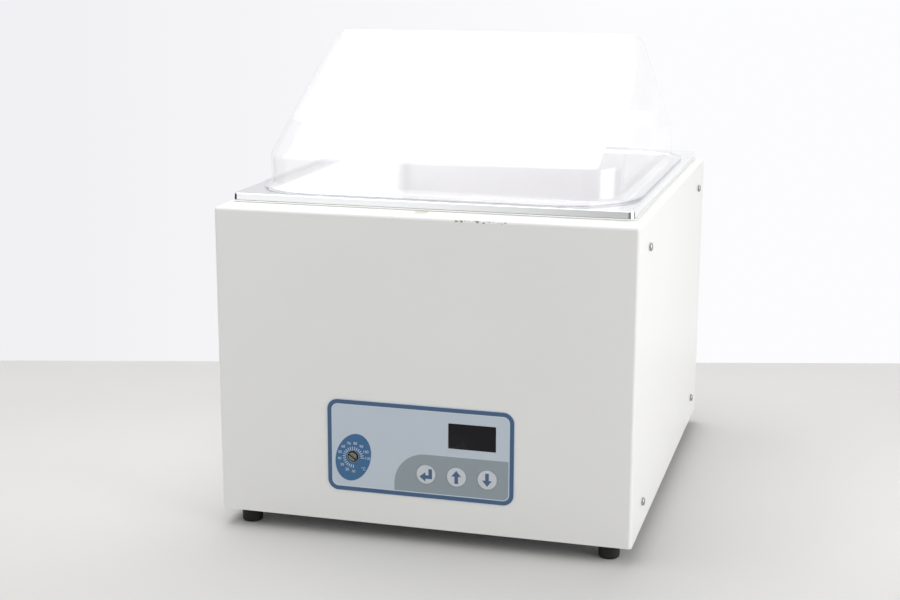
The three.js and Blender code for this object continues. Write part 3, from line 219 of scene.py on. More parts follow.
powderCoat = dict(
    base=(237, 237, 235), gloss=0.36, coatGloss=0.2, specular=0.5, clouds=9.0, drift=0.018,
    peel=1150, peelDull=0.10, peelDepth=1.1e-5, chipStretch=0.55,
    chipX=(0.0275, 0.0705), chipY=-0.1975, chipZ=(0.2652, 0.2669), chipScale=420, chipEdge=(0.52, 0.61),
    chipColour=(120, 118, 112), chipDull=0.3, chipDepth=3.0,
    dripX=(-0.0100, 0.0008), dripY=(-0.1868, -0.1740), dripZ=0.2675, dripScale=600, dripEdge=(0.32, 0.46),
    dripColour=(178, 181, 152), dripShare=0.9,
)


def makePowderCoat():
    spec = powderCoat
    constants = {"Coat Roughness": spec["coatGloss"], "Specular IOR Level": spec["specular"]}
    surface = Surface("powder_coat", constants)
    x, y, z = surface.axes()
    peel = surface.noise(spec["peel"], 2.0)
    clouds = surface.noise(spec["clouds"], 2.0)
    colour = surface.shades(clouds, tint(*spec["base"]), spec["drift"])
    # Small chips along the top edge of the front, where the lid has knocked it
    along = surface.place(scale=(spec["chipStretch"], 1, 1))
    broken = surface.noise(spec["chipScale"], 3.0, 0.7, along)
    alongEdge = x.within(*spec["chipX"]) * z.within(*spec["chipZ"]) * y.under(spec["chipY"])
    chips = alongEdge * broken.ramp(*spec["chipEdge"])
    # A dried drip beside the rim
    smear = surface.noise(spec["dripScale"], 3.0)
    drip = x.within(*spec["dripX"]) * y.within(*spec["dripY"]) * z.over(spec["dripZ"])
    drip = drip * smear.ramp(*spec["dripEdge"])
    colour = surface.mix(chips, colour, tint(*spec["chipColour"]))
    surface.give("Base Color", surface.mix(drip * spec["dripShare"], colour, tint(*spec["dripColour"])))
    dullness = (peel - 0.5) * spec["peelDull"] + chips * spec["chipDull"]
    surface.give("Roughness", spec["gloss"] + dullness)
    surface.bump(peel - chips * spec["chipDepth"], spec["peelDepth"])
    return surface


drawnSteel = dict(
    base=(244, 245, 246), gloss=0.085, insideBase=(229, 228, 229), insideGloss=0.4,
    drift=0.03, flow=14, flowDull=0.06, flowDepth=1.2e-5, flowShare=0.5, grain=1600, grainStretch=0.08,
    grainDull=0.05,
    insideX=(-0.14995, 0.14545), insideY=(-0.15495, 0.18195), insideZ=0.2745,
    # The white on the left wall is a painted reflection: its x range, its colour and how far it takes the
    # metal away
    wallGlareX=(-0.149, -0.124), wallGlareBase=(250, 250, 250), wallGlareShare=0.75,
)


def makeStainless():
    spec = drawnSteel
    surface = Surface("drawn_stainless", {})
    flow = surface.noise(spec["flow"], 2.0)
    across = surface.place(scale=(spec["grainStretch"], 1, 1))
    grain = surface.noise(spec["grain"], 2.0, 0.5, across)
    bright = surface.shades(flow, tint(*spec["base"]), spec["drift"])
    # The rim stays bright, while the inside has gone dull and pale from water and use
    x, y, z = surface.axes()
    inside = x.within(*spec["insideX"]) * y.within(*spec["insideY"]) * z.under(spec["insideZ"])
    # Painted reflection: the left wall is painted white and less metallic, standing in for the bright light
    # it reflects
    wallGlare = inside * (1 - x.ramp(*spec["wallGlareX"]))
    dull = surface.mix(wallGlare, tint(*spec["insideBase"]), tint(*spec["wallGlareBase"]))
    surface.give("Base Color", surface.mix(inside, bright, dull))
    surface.give("Metallic", 1 - wallGlare * spec["wallGlareShare"])
    dullness = inside * (spec["insideGloss"] - spec["gloss"])
    wander = flow * spec["flowDull"] + grain * spec["grainDull"]
    surface.give("Roughness", dullness + spec["gloss"] + wander)
    surface.bump(flow, spec["flowDepth"], spec["flowShare"])
    return surface


clearSheet = dict(
    base=(254, 254, 254), gloss=0.015, index=1.001, coatIndex=1.5, coatGloss=0.02, clear=0.95,
    haze=60.0, hazeShade=0.99, hazeDull=0.015, ripple=7.0, rippleDepth=1.0e-4, rippleShare=0.4,
    # The grey along the flange's edge is painted shade: its colour, its height range and the tilt below which
    # a face counts as edge
    shadow=(250, 250, 252), edge=(182, 185, 190), shadedEdgeZ=(0.2751, 0.2764), shadedEdgeTilt=0.5,
)


def makeClearPlastic():
    spec = clearSheet
    # The sheet is even, so it bends no light: all its gloss is on its skin
    constants = {"Transmission Weight": spec["clear"], "IOR": spec["index"], "Coat Weight": 1.0,
                 "Coat IOR": spec["coatIndex"], "Coat Roughness": spec["coatGloss"]}
    surface = Surface("clear_sheet", constants)
    ripple = surface.noise(spec["ripple"], 1.0)
    haze = surface.noise(spec["haze"], 2.0)
    base = tint(*spec["base"])
    # Painted shade: the flange's edge is painted grey, standing in for the dark line that the clear edge
    # shows in the light
    z = surface.axes()[2]
    facing = surface.node("ShaderNodeNewGeometry", {}, {}, "Normal")
    tilt = surface.node("ShaderNodeSeparateXYZ", {}, {"Vector": facing}, "Z")
    edge = z.within(*spec["shadedEdgeZ"]) * tilt.size().under(spec["shadedEdgeTilt"])
    clear = surface.mix(haze, scaled(base, spec["hazeShade"]), base)
    surface.give("Base Color", surface.mix(edge, clear, tint(*spec["edge"])))
    surface.give("Roughness", spec["gloss"] + haze * spec["hazeDull"])
    surface.bump(ripple, spec["rippleDepth"], spec["rippleShare"])
    # Light reaches what is under the sheet, so its shadow stays faint
    letThrough = surface.node("ShaderNodeBsdfTransparent", {}, {"Color": tint(*spec["shadow"])})
    solid = Signal(surface, surface.shader.outputs["BSDF"])
    shaders = {0: surface.ray("Shadow"), 1: solid, 2: letThrough}
    blend = surface.node("ShaderNodeMixShader", {}, shaders)
    surface.feed(surface.nodes["Material Output"].inputs["Surface"], blend)
    return surface


printFilm = dict(specular=0.4, grain=2600, patches=26, wander=0.08, depth=5e-6)


def makeFilm(name, colour, gloss=0.42, drift=0.02):
    spec = printFilm
    surface = Surface(name, {"Specular IOR Level": spec["specular"]})
    fine = surface.noise(spec["grain"], 2.0)
    broad = surface.noise(spec["patches"], 2.0)
    surface.give("Base Color", surface.shades(broad * 0.5 + fine * 0.5, tint(*colour), drift))
    surface.give("Roughness", gloss + (fine - 0.5) * spec["wander"])
    surface.bump(fine, spec["depth"])
    return surface


windowFilter = dict(
    specular=0.22, index=1.45, base=(21, 21, 25), gloss=0.16, grain=1500, depth=1e-6,
    wipe=140, wipeTurn=0.5, wipeLong=0.4, wipeX=(0.024, 0.046), wipeZ=(0.084, 0.096), wipeEdge=(0.35, 0.75),
    wipeColour=(66, 68, 74), wipeDull=0.25,
)


def makeWindowFilter():
    spec = windowFilter
    surface = Surface("window_filter", {"Specular IOR Level": spec["specular"], "IOR": spec["index"]})
    x, _, z = surface.axes()
    # A wiped patch in the lower left corner catches a little light
    along = surface.place(rotation=(0, spec["wipeTurn"], 0), scale=(1, 1, spec["wipeLong"]))
    wipe = surface.noise(spec["wipe"], 2.0, 0.5, along)
    corner = (1 - x.ramp(*spec["wipeX"])) * (1 - z.ramp(*spec["wipeZ"]))
    haze = corner * wipe.ramp(*spec["wipeEdge"])
    surface.give("Base Color", surface.mix(haze, tint(*spec["base"]), tint(*spec["wipeColour"])))
    surface.give("Roughness", spec["gloss"] + haze * spec["wipeDull"])
    surface.bump(surface.noise(spec["grain"], 2.0), spec["depth"])
    return surface


boardMask = dict(
    specular=0.5, base=(24, 84, 52), track=(46, 118, 74), gloss=0.32, wander=0.1, grain=500, depth=3e-5,
    upright=260, uprightEdge=(0.62, 0.70), level=170, levelEdge=(0.70, 0.78), areas=70, areaEdge=(0.45, 0.5),
)


def makeBoardMask():
    spec = boardMask
    surface = Surface("board_mask", {"Specular IOR Level": spec["specular"]})
    upright = surface.waves(spec["upright"], "X").ramp(*spec["uprightEdge"])
    level = surface.waves(spec["level"], "Z").ramp(*spec["levelEdge"])
    area = surface.cells(spec["areas"]).ramp(*spec["areaEdge"])
    pattern = (upright * area).most(level * (1 - area))
    surface.give("Base Color", surface.mix(pattern, tint(*spec["base"]), tint(*spec["track"])))
    surface.give("Roughness", spec["gloss"] + surface.noise(spec["grain"]) * spec["wander"])
    surface.bump(pattern, spec["depth"])
    return surface


zincSpangle = dict(scale=120, gloss=0.26, wander=0.2)
heaterWeave = dict(scale=420, depth=8e-5)


def spangledZinc():
    surface = plainFinish("zinc_sheet", **plainFinishes["zinc_sheet"])
    flakes = surface.cells(zincSpangle["scale"], "Color")
    shine = surface.node("ShaderNodeSeparateColor", {}, {"Color": flakes})
    surface.give("Roughness", zincSpangle["gloss"] + shine * zincSpangle["wander"])
    return surface


def wovenHeater():
    surface = plainFinish("heater_rubber", **plainFinishes["heater_rubber"])
    weave = surface.waves(heaterWeave["scale"], "X") * surface.waves(heaterWeave["scale"], "Y")
    surface.bump(weave, heaterWeave["depth"])
    return surface


finishes = {name: plainFinish(name, **spec) for name, spec in plainFinishes.items()
            if name not in ("zinc_sheet", "heater_rubber")}
finishes["zinc_sheet"] = spangledZinc()
finishes["heater_rubber"] = wovenHeater()
finishes["case_paint"] = makePowderCoat()
finishes["stainless"] = makeStainless()
finishes["clear_plastic"] = makeClearPlastic()
finishes["label_film"] = makeFilm("label_film", colour=(196, 206, 217))
finishes["key_film"] = makeFilm("key_film", colour=(205, 210, 216), gloss=0.36)
finishes["dark_window"] = makeWindowFilter()
finishes["board_green"] = makeBoardMask()
inkLooks = {
    "blue": dict(colour=(70, 98, 130), gloss=0.46, drift=0.04),
    "dial": dict(colour=(62, 107, 149), gloss=0.44, drift=0.05),
    "shade": dict(colour=(148, 160, 166), gloss=0.46, drift=0.03),
    "pale": dict(colour=(214, 224, 236), gloss=0.46, drift=0.02),
    "line": dict(colour=(204, 218, 234), gloss=0.46, drift=0.02),
    "arrow": dict(colour=(78, 102, 134), gloss=0.46, drift=0.04),
    "white": dict(colour=(232, 234, 236), gloss=0.5, drift=0.02),
}
inks = {name: makeFilm(f"ink_{name}", **spec) for name, spec in inkLooks.items()}
print("finishes made:", len(finishes) + len(inks))

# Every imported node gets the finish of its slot, also where a fuller piece stands for it below
unfinished = []
for node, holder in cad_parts.items():
    cadMesh = holder.data
    for slotIndex, plainLook in enumerate(cadMesh.materials):
        finish = finishes.get(plainLook.name.split(".")[0])
        if finish is None:
            unfinished.append(f"{node}: {plainLook.name}")
        else:
            cadMesh.materials[slotIndex] = finish.material
print("nodes without a finish:", unfinished)


# Shapes

def moveBy(bm, verts, step):
    bmesh.ops.translate(bm, verts=verts, vec=step)


def turnBy(bm, verts, degrees, axis="Z"):
    bmesh.ops.rotate(bm, verts=verts, cent=(0, 0, 0), matrix=Matrix.Rotation(math.radians(degrees), 3, axis))


def ease(bm, geom, offset, segments, kind="EDGES", clamp=False):
    return bmesh.ops.bevel(bm, geom=geom, offset=offset, segments=segments, profile=0.5, affect=kind,
                           clamp_overlap=clamp, material=-1)["verts"]


def redrawn(mesh):
    # A finished mesh, back in millimetres
    bm = bmesh.new()
    bm.from_mesh(mesh)
    bmesh.ops.scale(bm, vec=(1 / mm, 1 / mm, 1 / mm), verts=bm.verts)
    return bm


def roundedFace(bm, low, high, radii, segments=8, level=0.0):
    # A flat face between two corners; radii is one radius or four, from the low corner anticlockwise
    made = bmesh.ops.create_grid(bm, x_segments=1, y_segments=1, size=0.5)["verts"]
    size = (high[0] - low[0], high[1] - low[1], 1)
    middle = ((low[0] + high[0]) / 2, (low[1] + high[1]) / 2, level)
    bmesh.ops.scale(bm, vec=size, verts=made)
    moveBy(bm, made, middle)
    if isinstance(radii, (int, float)):
        radii = [radii] * 4
    order = sorted(made, key=lambda v: math.atan2(v.co.y - middle[1], v.co.x - middle[0]))
    verts = []
    for corner, radius in zip(order, radii):
        if radius <= 0:
            verts.append(corner)
            continue
        verts.extend(ease(bm, [corner], radius, segments, "VERTICES"))
    return verts


def roundedLoop(bm, low, high, radii, segments=8, level=0.0):
    # The edge of such a face, alone
    verts = roundedFace(bm, low, high, radii, segments, level)
    face = verts[0].link_faces[0]
    edges = list(face.edges)
    bmesh.ops.delete(bm, geom=[face], context="FACES_ONLY")
    return edges


def ringLoop(bm, ring, segments):
    halfX, halfY, radius, level = ring
    return roundedLoop(bm, (-halfX, -halfY), (halfX, halfY), radius, segments, level)


def roundLoop(bm, centre, radius, segments=32):
    place = Matrix.Translation((*centre, 0))
    made = bmesh.ops.create_circle(bm, segments=segments, radius=radius, matrix=place)["verts"]
    return list({edge for vert in made for edge in vert.link_edges})


def fillFlat(bm, edges):
    return [part for part in bmesh.ops.triangle_fill(bm, edges=edges, use_beauty=True)["geom"]
            if isinstance(part, bmesh.types.BMFace)]


def raiseFaces(bm, faces, height):
    # Gives flat faces a thickness upwards
    raised = bmesh.ops.extrude_face_region(bm, geom=faces, use_keep_orig=True)["geom"]
    verts = [part for part in raised if isinstance(part, bmesh.types.BMVert)]
    moveBy(bm, verts, (0, 0, height))
    return verts


def plate(bm, loops, height):
    raiseFaces(bm, fillFlat(bm, loops), height)


def turnToFront(bm, back):
    # What was drawn flat stands on the plane y = back and faces the front
    turnBy(bm, bm.verts, 90, "X")
    moveBy(bm, bm.verts, (0, back, 0))


def turned(bm, profile, sides=48):
    # Profile of radius, height and the rounding of that corner, spun about Z
    before = set(bm.verts)
    line = [bm.verts.new((radius, 0, height)) for radius, height, *_ in profile]
    for pair in zip(line, line[1:]):
        bm.edges.new(pair)
    for vert, (_, _, *rounding) in zip(line, profile):
        if rounding:
            ease(bm, [vert], rounding[0], 4, "VERTICES")
    drawn = [vert for vert in bm.verts if vert not in before]
    edges = list({edge for vert in drawn for edge in vert.link_edges})
    bmesh.ops.spin(bm, geom=drawn + edges, cent=(0, 0, 0), axis=(0, 0, 1), angle=math.tau,
                   steps=sides, use_merge=True, use_duplicate=False)
    made = [vert for vert in bm.verts if vert not in before]
    bmesh.ops.remove_doubles(bm, verts=made, dist=mergeWithin)
    return [vert for vert in bm.verts if vert not in before]


def block(bm, low, high, easing=0.0):
    made = bmesh.ops.create_cube(bm, size=1)["verts"]
    bmesh.ops.scale(bm, vec=[b - a for a, b in zip(low, high)], verts=made)
    moveBy(bm, made, [(a + b) / 2 for a, b in zip(low, high)])
    if easing:
        made = ease(bm, list({edge for vert in made for edge in vert.link_edges}), easing, 2)
    return made


def meshFrom(name, bm, outward=True):
    bmesh.ops.remove_doubles(bm, verts=bm.verts, dist=mergeWithin)
    if outward:
        bmesh.ops.recalc_face_normals(bm, faces=bm.faces)
    bmesh.ops.scale(bm, vec=(mm, mm, mm), verts=bm.verts)
    mesh = bpy.data.meshes.new(name)
    bm.to_mesh(mesh)
    bm.free()
    return mesh


def faceUp(bm):
    # An open sheet has no inside, so its top side is turned up before it gets a wall
    bmesh.ops.remove_doubles(bm, verts=bm.verts, dist=mergeWithin)
    bmesh.ops.recalc_face_normals(bm, faces=bm.faces)
    bm.normal_update()
    if sum(face.normal.z * face.calc_area() for face in bm.faces) < 0:
        bmesh.ops.reverse_faces(bm, faces=bm.faces)


def standing(name, mesh):
    piece = bpy.data.objects.new(name, mesh)
    scene.collection.objects.link(piece)
    return piece


def settle(piece):
    # The modifiers so far become the mesh
    shown = piece.evaluated_get(bpy.context.evaluated_depsgraph_get())
    settled = bpy.data.meshes.new_from_object(shown)
    piece.modifiers.clear()
    piece.data = settled


def giveWall(piece, thickness):
    wall = piece.modifiers.new("wall", "SOLIDIFY")
    wall.thickness = thickness * mm
    wall.offset = -1
    wall.use_even_offset = True
    wall.use_quality_normals = True
    settle(piece)


def cutAway(piece, cutterBm):
    cutter = standing("cutter", meshFrom("cutter", cutterBm))
    cut = piece.modifiers.new("cut", "BOOLEAN")
    cut.operation = "DIFFERENCE"
    cut.solver = "EXACT"
    cut.object = cutter
    settle(piece)
    bpy.data.objects.remove(cutter)


def dress(piece, look, body, replaced=(), sharp=32):
    piece.data.materials.clear()
    piece.data.materials.append(look.material)
    piece.data.shade_smooth()
    piece.data.set_sharp_from_angle(angle=math.radians(sharp))
    even = piece.modifiers.new("evenShading", "WEIGHTED_NORMAL")
    even.keep_sharp = True
    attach(piece, body)
    if replaced:
        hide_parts(*replaced)


def finished(name, bm, look, body, replaced=(), sharp=32):
    dress(standing(name, meshFrom(name, bm)), look, body, replaced, sharp)


def arc(centre, radius, start, end, steps):
    # Points of a bend seen in section, angles in degrees
    points = []
    for i in range(steps + 1):
        angle = math.radians(start + (end - start) * i / steps)
        points.append((centre[0] + radius * math.cos(angle), centre[1] + radius * math.sin(angle)))
    return points


def skin(bm, rings, segments):
    # Rings of half width, half depth, corner radius and height, joined one to the next
    loops = [ringLoop(bm, ring, segments) for ring in rings]
    for lower, upper, low, high in zip(loops, loops[1:], rings, rings[1:]):
        if abs(low[3] - high[3]) < 1e-6:  # both on one level
            fillFlat(bm, lower + upper)
        else:
            bmesh.ops.bridge_loops(bm, edges=lower + upper)
    return loops


def capLoop(bm, loop):
    bmesh.ops.contextual_create(bm, geom=loop)


# Case

case = dict(
    halfWidth=171.5, front=-200.0, shellBack=198.6, back=200.0, bottom=14.0, top=268.0,
    sheet=1.2, bend=3.0, bendSteps=6, rearFold=14.0,
    deckMiddle=(-2.25, 13.5), deckHalf=(150.0, 170.75), deckCorner=32.5,
    screwHole=2.0, sideScrewY=(-149.0, 160.0), sideScrewZ=(36.0, 244.5),
    backScrewX=163.5, backScrewZ=(74.0, 208.0), screwLift=0.2,
    frontCut=(5.0, 8.0), deckCut=(10.0, 20.0), sideCut=(5.0, 10.0),  # start inside the sheet, then length
)
front = dict(
    windowX=43.212, windowZ=93.7266, windowSize=(38.6, 20.5), windowCorner=0.3,
    keyX=(5.412, 30.612, 55.812), keyZ=60.0392, keyRadius=7.85, gap=0.2,
    dialX=-56.004, dialZ=69.3752, dialHole=5.0,
)
weldStud = dict(
    boardX=(-11.84, 73.06), boardZ=(48.79, 111.98), limiterX=(-75.5, -36.5), root=-199.4,
    shoulder=3.0, shoulderBack=-188.9, tip=1.5, tipEase=0.3, tipBack=-182.6, limiterBack=-192.1,
)


def keyHoles(bm):
    spec = front
    loops = []
    for x in spec["keyX"]:
        loops += roundLoop(bm, (x, spec["keyZ"]), spec["keyRadius"] + spec["gap"], 40)
    return loops


def dialHole(bm):
    return roundLoop(bm, (front["dialX"], front["dialZ"]), front["dialHole"], 36)


def frontHoles(bm):
    # Loops of the window, key and dial holes, drawn flat with Z upwards on the page
    spec = front
    x, z, gap = spec["windowX"], spec["windowZ"], spec["gap"]
    wide, tall = (side / 2 + gap for side in spec["windowSize"])
    window = roundedLoop(bm, (x - wide, z - tall), (x + wide, z + tall), spec["windowCorner"] + gap, 4)
    return window + keyHoles(bm) + dialHole(bm)


onPlane = 0.1  # a corner this near to a plane, in millimetres, lies on it
apart = 1.0  # places that differ by more than this are two places


def makeCase():
    spec = case
    bm = bmesh.new()
    block(bm, (-spec["halfWidth"], spec["front"], spec["bottom"]),
          (spec["halfWidth"], spec["shellBack"], spec["top"]))
    under = [face for face in bm.faces if face.normal.z < -0.9]
    bmesh.ops.delete(bm, geom=under, context="FACES_ONLY")
    # The rear edge is folded in on three sides
    rear = [face for face in bm.faces if face.normal.y > 0.9]
    bmesh.ops.inset_individual(bm, faces=rear, thickness=spec["rearFold"], use_even_offset=True)
    foldTop = spec["bottom"] + spec["rearFold"]
    strips = [face for face in bm.faces if face.normal.y > 0.9 and face not in rear
              and face.calc_center_median().z < foldTop]
    bmesh.ops.delete(bm, geom=rear + strips, context="FACES")
    # The two side folds reach down to the lower edge, without a mitre
    foldFeet = [vert for vert in bm.verts
                if vert.co.y > spec["shellBack"] - onPlane and abs(vert.co.x) < spec["halfWidth"] - apart
                and vert.co.z < foldTop + apart]
    moveBy(bm, foldFeet, (0, 0, -spec["rearFold"]))
    mitres = []
    bends = []
    for edge in bm.edges:
        step = edge.verts[0].co - edge.verts[1].co
        atBack = all(vert.co.y > spec["shellBack"] - onPlane for vert in edge.verts)
        if atBack and abs(step.x) > apart and abs(step.z) > apart:
            mitres.append(edge)
    bmesh.ops.dissolve_edges(bm, edges=mitres)
    for edge in bm.edges:
        middle = (edge.verts[0].co + edge.verts[1].co) / 2
        upright = abs(edge.verts[0].co.z - edge.verts[1].co.z) > apart
        onTop = middle.z > spec["top"] - apart
        if middle.y < spec["shellBack"] - apart and (upright or onTop):
            bends.append(edge)
    ease(bm, bends, spec["bend"], spec["bendSteps"])
    faceUp(bm)
    piece = standing("painted_case", meshFrom("painted_case", bm, False))
    giveWall(piece, spec["sheet"])

    holes = bmesh.new()
    inside, length = spec["frontCut"]
    plate(holes, frontHoles(holes), length)
    turnToFront(holes, spec["front"] + inside)
    deckX, deckY = spec["deckMiddle"]
    halfX, halfY = spec["deckHalf"]
    inside, length = spec["deckCut"]
    deck = roundedLoop(holes, (deckX - halfX, deckY - halfY), (deckX + halfX, deckY + halfY),
                       spec["deckCorner"], 14, spec["top"] - inside)
    plate(holes, deck, length)
    cutAway(piece, holes)
    holes = bmesh.new()
    inside, length = spec["sideCut"]
    for z in spec["sideScrewZ"]:
        for y in spec["sideScrewY"]:
            plate(holes, roundLoop(holes, (-z, y), spec["screwHole"], 16), length)
    turnBy(holes, holes.verts, 90, "Y")
    moveBy(holes, holes.verts, (spec["halfWidth"] - inside, 0, 0))
    far = bmesh.ops.duplicate(holes, geom=holes.verts[:] + holes.edges[:] + holes.faces[:])["geom"]
    farVerts = [part for part in far if isinstance(part, bmesh.types.BMVert)]
    moveBy(holes, farVerts, (-2 * spec["halfWidth"], 0, 0))
    cutAway(piece, holes)
    addStuds(piece)
    dress(piece, finishes["case_paint"], "chassis", ["case_shell"])


def addStuds(piece):
    # Welded studs behind the front carry the board and the limiter
    spec = weldStud
    studs = bmesh.new()
    places = [(x, z, spec["shoulder"], spec["shoulderBack"])
              for x in spec["boardX"] for z in spec["boardZ"]]
    places += [(x, front["dialZ"], spec["tip"], spec["limiterBack"]) for x in spec["limiterX"]]
    root, tip, tipBack = -spec["root"], spec["tip"], -spec["tipBack"]
    for x, z, radius, back in places:
        profile = [(0, root), (radius, root), (radius, -back)]
        if radius > tip:
            profile += [(tip, -back), (tip, tipBack, spec["tipEase"]), (0, tipBack)]
        else:
            profile += [(0, -back)]
        made = turned(studs, profile, sides=20)
        moveBy(studs, made, (x, z, 0))
    turnToFront(studs, 0)
    whole = bmesh.new()
    whole.from_mesh(piece.data)
    whole.from_mesh(meshFrom("studs", studs))
    whole.to_mesh(piece.data)
    whole.free()


makeCase()
print("case folded and cut")

rearCover = dict(
    ventLeft=-143.5, ventRight=3.0, ventGap=11.0, ventRise=54.0, ventPitch=10.0, ventCount=5, ventHalf=2.0,
    ventCorner=1.9, openings=((115.5, 13.2, 16.2), (63.5, 10.9, 14.4)), openingZ=64.0, openingCorner=2.0,
    gap=0.2,
)


def makeBackPanel():
    spec = case
    cover = rearCover
    bm = bmesh.new()
    loops = roundedLoop(bm, (-spec["halfWidth"], spec["bottom"]), (spec["halfWidth"], spec["top"]),
                        spec["bend"])
    span = (cover["ventRight"] - cover["ventLeft"] - cover["ventGap"]) / 2
    half = cover["ventHalf"]
    for column in range(2):
        x = cover["ventLeft"] + column * (span + cover["ventGap"])
        for row in range(cover["ventCount"]):
            z = cover["ventRise"] + row * cover["ventPitch"]
            loops += roundedLoop(bm, (x, z - half), (x + span, z + half), cover["ventCorner"], 5)
    z = cover["openingZ"]
    for x, wide, tall in cover["openings"]:
        loops += roundedLoop(bm, (x - wide, z - tall), (x + wide, z + tall), cover["openingCorner"], 4)
    for side in (-1, 1):
        for z in spec["backScrewZ"]:
            loops += roundLoop(bm, (side * spec["backScrewX"], z), spec["screwHole"], 16)
    plate(bm, loops, spec["back"] - spec["shellBack"] - cover["gap"])
    turnToFront(bm, spec["back"])
    finished("rear_cover", bm, finishes["case_paint"], "chassis", ["back_panel"])


makeBackPanel()
print("rear cover punched")

# Drawn tank: rings from the floor up the wall, over the mouth, across the flange and down the lip

tank = dict(
    halfX=147.5, halfY=168.25, corner=30.0, draft=2.0, floor=-143.0, floorRadius=22.0, wall=1.0,
    mouth=4.0, rimX=164.75, rimY=185.5, rim=7.0, rimCorner=5.0, rimEdge=0.7, lift=1.7, lipLean=4.2, steps=12,
)


def tankWall(offset, z):
    spec = tank
    share = (spec["rim"] - spec["mouth"] - z) / (spec["rim"] - spec["mouth"] - spec["floor"])
    out = offset - spec["draft"] * min(share, 1)
    return spec["halfX"] + out, spec["halfY"] + out, spec["corner"] + out


def makeTank():
    spec = tank
    rings = []
    for reach, z in arc((0, spec["floor"] + spec["floorRadius"]), spec["floorRadius"], -90, 0, 10):
        rings.append((*tankWall(reach - spec["floorRadius"], spec["floor"]), z))
    for offset, z in arc((spec["mouth"], spec["rim"] - spec["mouth"]), spec["mouth"], 180, 90, 8):
        rings.append((*tankWall(offset, spec["rim"] - spec["mouth"]), z))
    # The lip leans out a little towards its foot
    lean = math.radians(spec["lipLean"])
    upright = spec["rim"] - spec["rimEdge"] * (1 - math.sin(lean)) - spec["lift"]
    for reach, z in arc((0, spec["rim"] - spec["rimEdge"]), spec["rimEdge"], 90, spec["lipLean"], 6):
        inset = upright * math.tan(lean) + spec["rimEdge"] * math.cos(lean) - reach
        rings.append((spec["rimX"] - inset, spec["rimY"] - inset, spec["rimCorner"] - inset, z))
    rings.append((spec["rimX"], spec["rimY"], spec["rimCorner"], spec["lift"]))
    bm = bmesh.new()
    loops = skin(bm, rings, spec["steps"])
    capLoop(bm, loops[0])
    moveBy(bm, bm.verts, (*case["deckMiddle"], case["top"]))
    faceUp(bm)
    piece = standing("drawn_tank", meshFrom("drawn_tank", bm, False))
    giveWall(piece, spec["wall"])
    dress(piece, finishes["stainless"], "chassis", ["tank"], sharp=40)


makeTank()

# White seal under the rim: a band behind the lip, whose foot swells out below it
seal = dict(
    gap=0.2, bead=1.3, beadReach=0.9, beadEase=0.5, beadTop=0.1, band=1.8, inner=6.5, height=5.8, steps=8,
)


def makeSeal():
    spec = seal

    def ring(inset, z):
        corner = max(tank["rimCorner"] - inset, tank["rimCorner"] - spec["band"])
        return tank["rimX"] - inset, tank["rimY"] - inset, corner, z

    top = spec["height"] - spec["gap"]
    rings = [ring(spec["inner"], spec["gap"]), ring(spec["beadEase"] / 2 - spec["beadReach"], spec["gap"])]
    for reach, z in arc((0, spec["bead"] - spec["beadEase"]), spec["beadEase"], 0, 90, 4):
        rings.append(ring(spec["beadEase"] - reach - spec["beadReach"], z))
    rings += [ring(spec["band"], spec["bead"] + spec["beadTop"]), ring(spec["band"], top),
              ring(spec["inner"], top)]
    bm = bmesh.new()
    skin(bm, rings + rings[:1], spec["steps"])
    moveBy(bm, bm.verts, (*case["deckMiddle"], case["top"]))
    finished("silicone_seal", bm, finishes["white_seal"], "chassis", ["rim_gasket"])


makeSeal()
print("tank drawn and sealed")

# Lid: a gable formed from one clear sheet, drawn as its outer skin

lid = dict(
    flangeX=159.75, flangeY=180.5, flangeCorner=64.0, skirtX=148.5, skirtY=164.3, skirtCorner=30.0,
    wall=2.8, foot=3.0, skirtHeight=28.0, height=122.5, endLean=10.0, ridgeFlat=4.0,
    ridgeCorner=10.0, eaves=6.0, tipShare=0.9, base=7.2, steps=12,
)


def lidRing(halfY, height, endInset=0.0):
    spec = lid
    lean = max(height - spec["skirtHeight"], 0) / (spec["height"] - spec["skirtHeight"])
    corner = spec["skirtCorner"] + lean * (spec["ridgeCorner"] - spec["skirtCorner"])
    halfX = spec["skirtX"] - lean * spec["endLean"] - endInset
    return halfX, halfY, min(corner, halfY * spec["tipShare"]), spec["base"] + height


def makeLid():
    spec = lid
    slope = (spec["height"] - spec["skirtHeight"]) / (spec["skirtY"] - spec["ridgeFlat"] / 2)
    turn = 90 - math.degrees(math.atan(slope))
    rings = [(spec["flangeX"], spec["flangeY"], spec["flangeCorner"], spec["base"] + spec["wall"])]
    footBend = spec["foot"]
    for offset, z in arc((footBend, spec["base"] + spec["wall"] + footBend), footBend, 270, 180, 6):
        rings.append((spec["skirtX"] + offset, spec["skirtY"] + offset, spec["skirtCorner"] + offset, z))
    eavesHeight = spec["skirtHeight"] - spec["eaves"] * math.tan(math.radians(turn / 2))
    for halfY, height in arc((spec["skirtY"] - spec["eaves"], eavesHeight), spec["eaves"], 0, turn, 8):
        rings.append(lidRing(halfY, height))
    ridge = spec["ridgeCorner"]
    for reach, height in arc((0, spec["height"] - ridge), ridge, 0, 90, 8):
        halfY = spec["skirtY"] - (height - spec["skirtHeight"]) / slope
        rings.append(lidRing(halfY, height, ridge - reach))
    bm = bmesh.new()
    loops = skin(bm, rings, spec["steps"])
    capLoop(bm, loops[-1])
    moveBy(bm, bm.verts, (*case["deckMiddle"], case["top"]))
    faceUp(bm)
    piece = standing("clear_lid", meshFrom("clear_lid", bm, False))
    giveWall(piece, spec["wall"])
    dress(piece, finishes["clear_plastic"], "lid", ["lid"], sharp=50)


makeLid()
print("lid formed")

# Front label: film with holes, then the printing as thin layers of ink

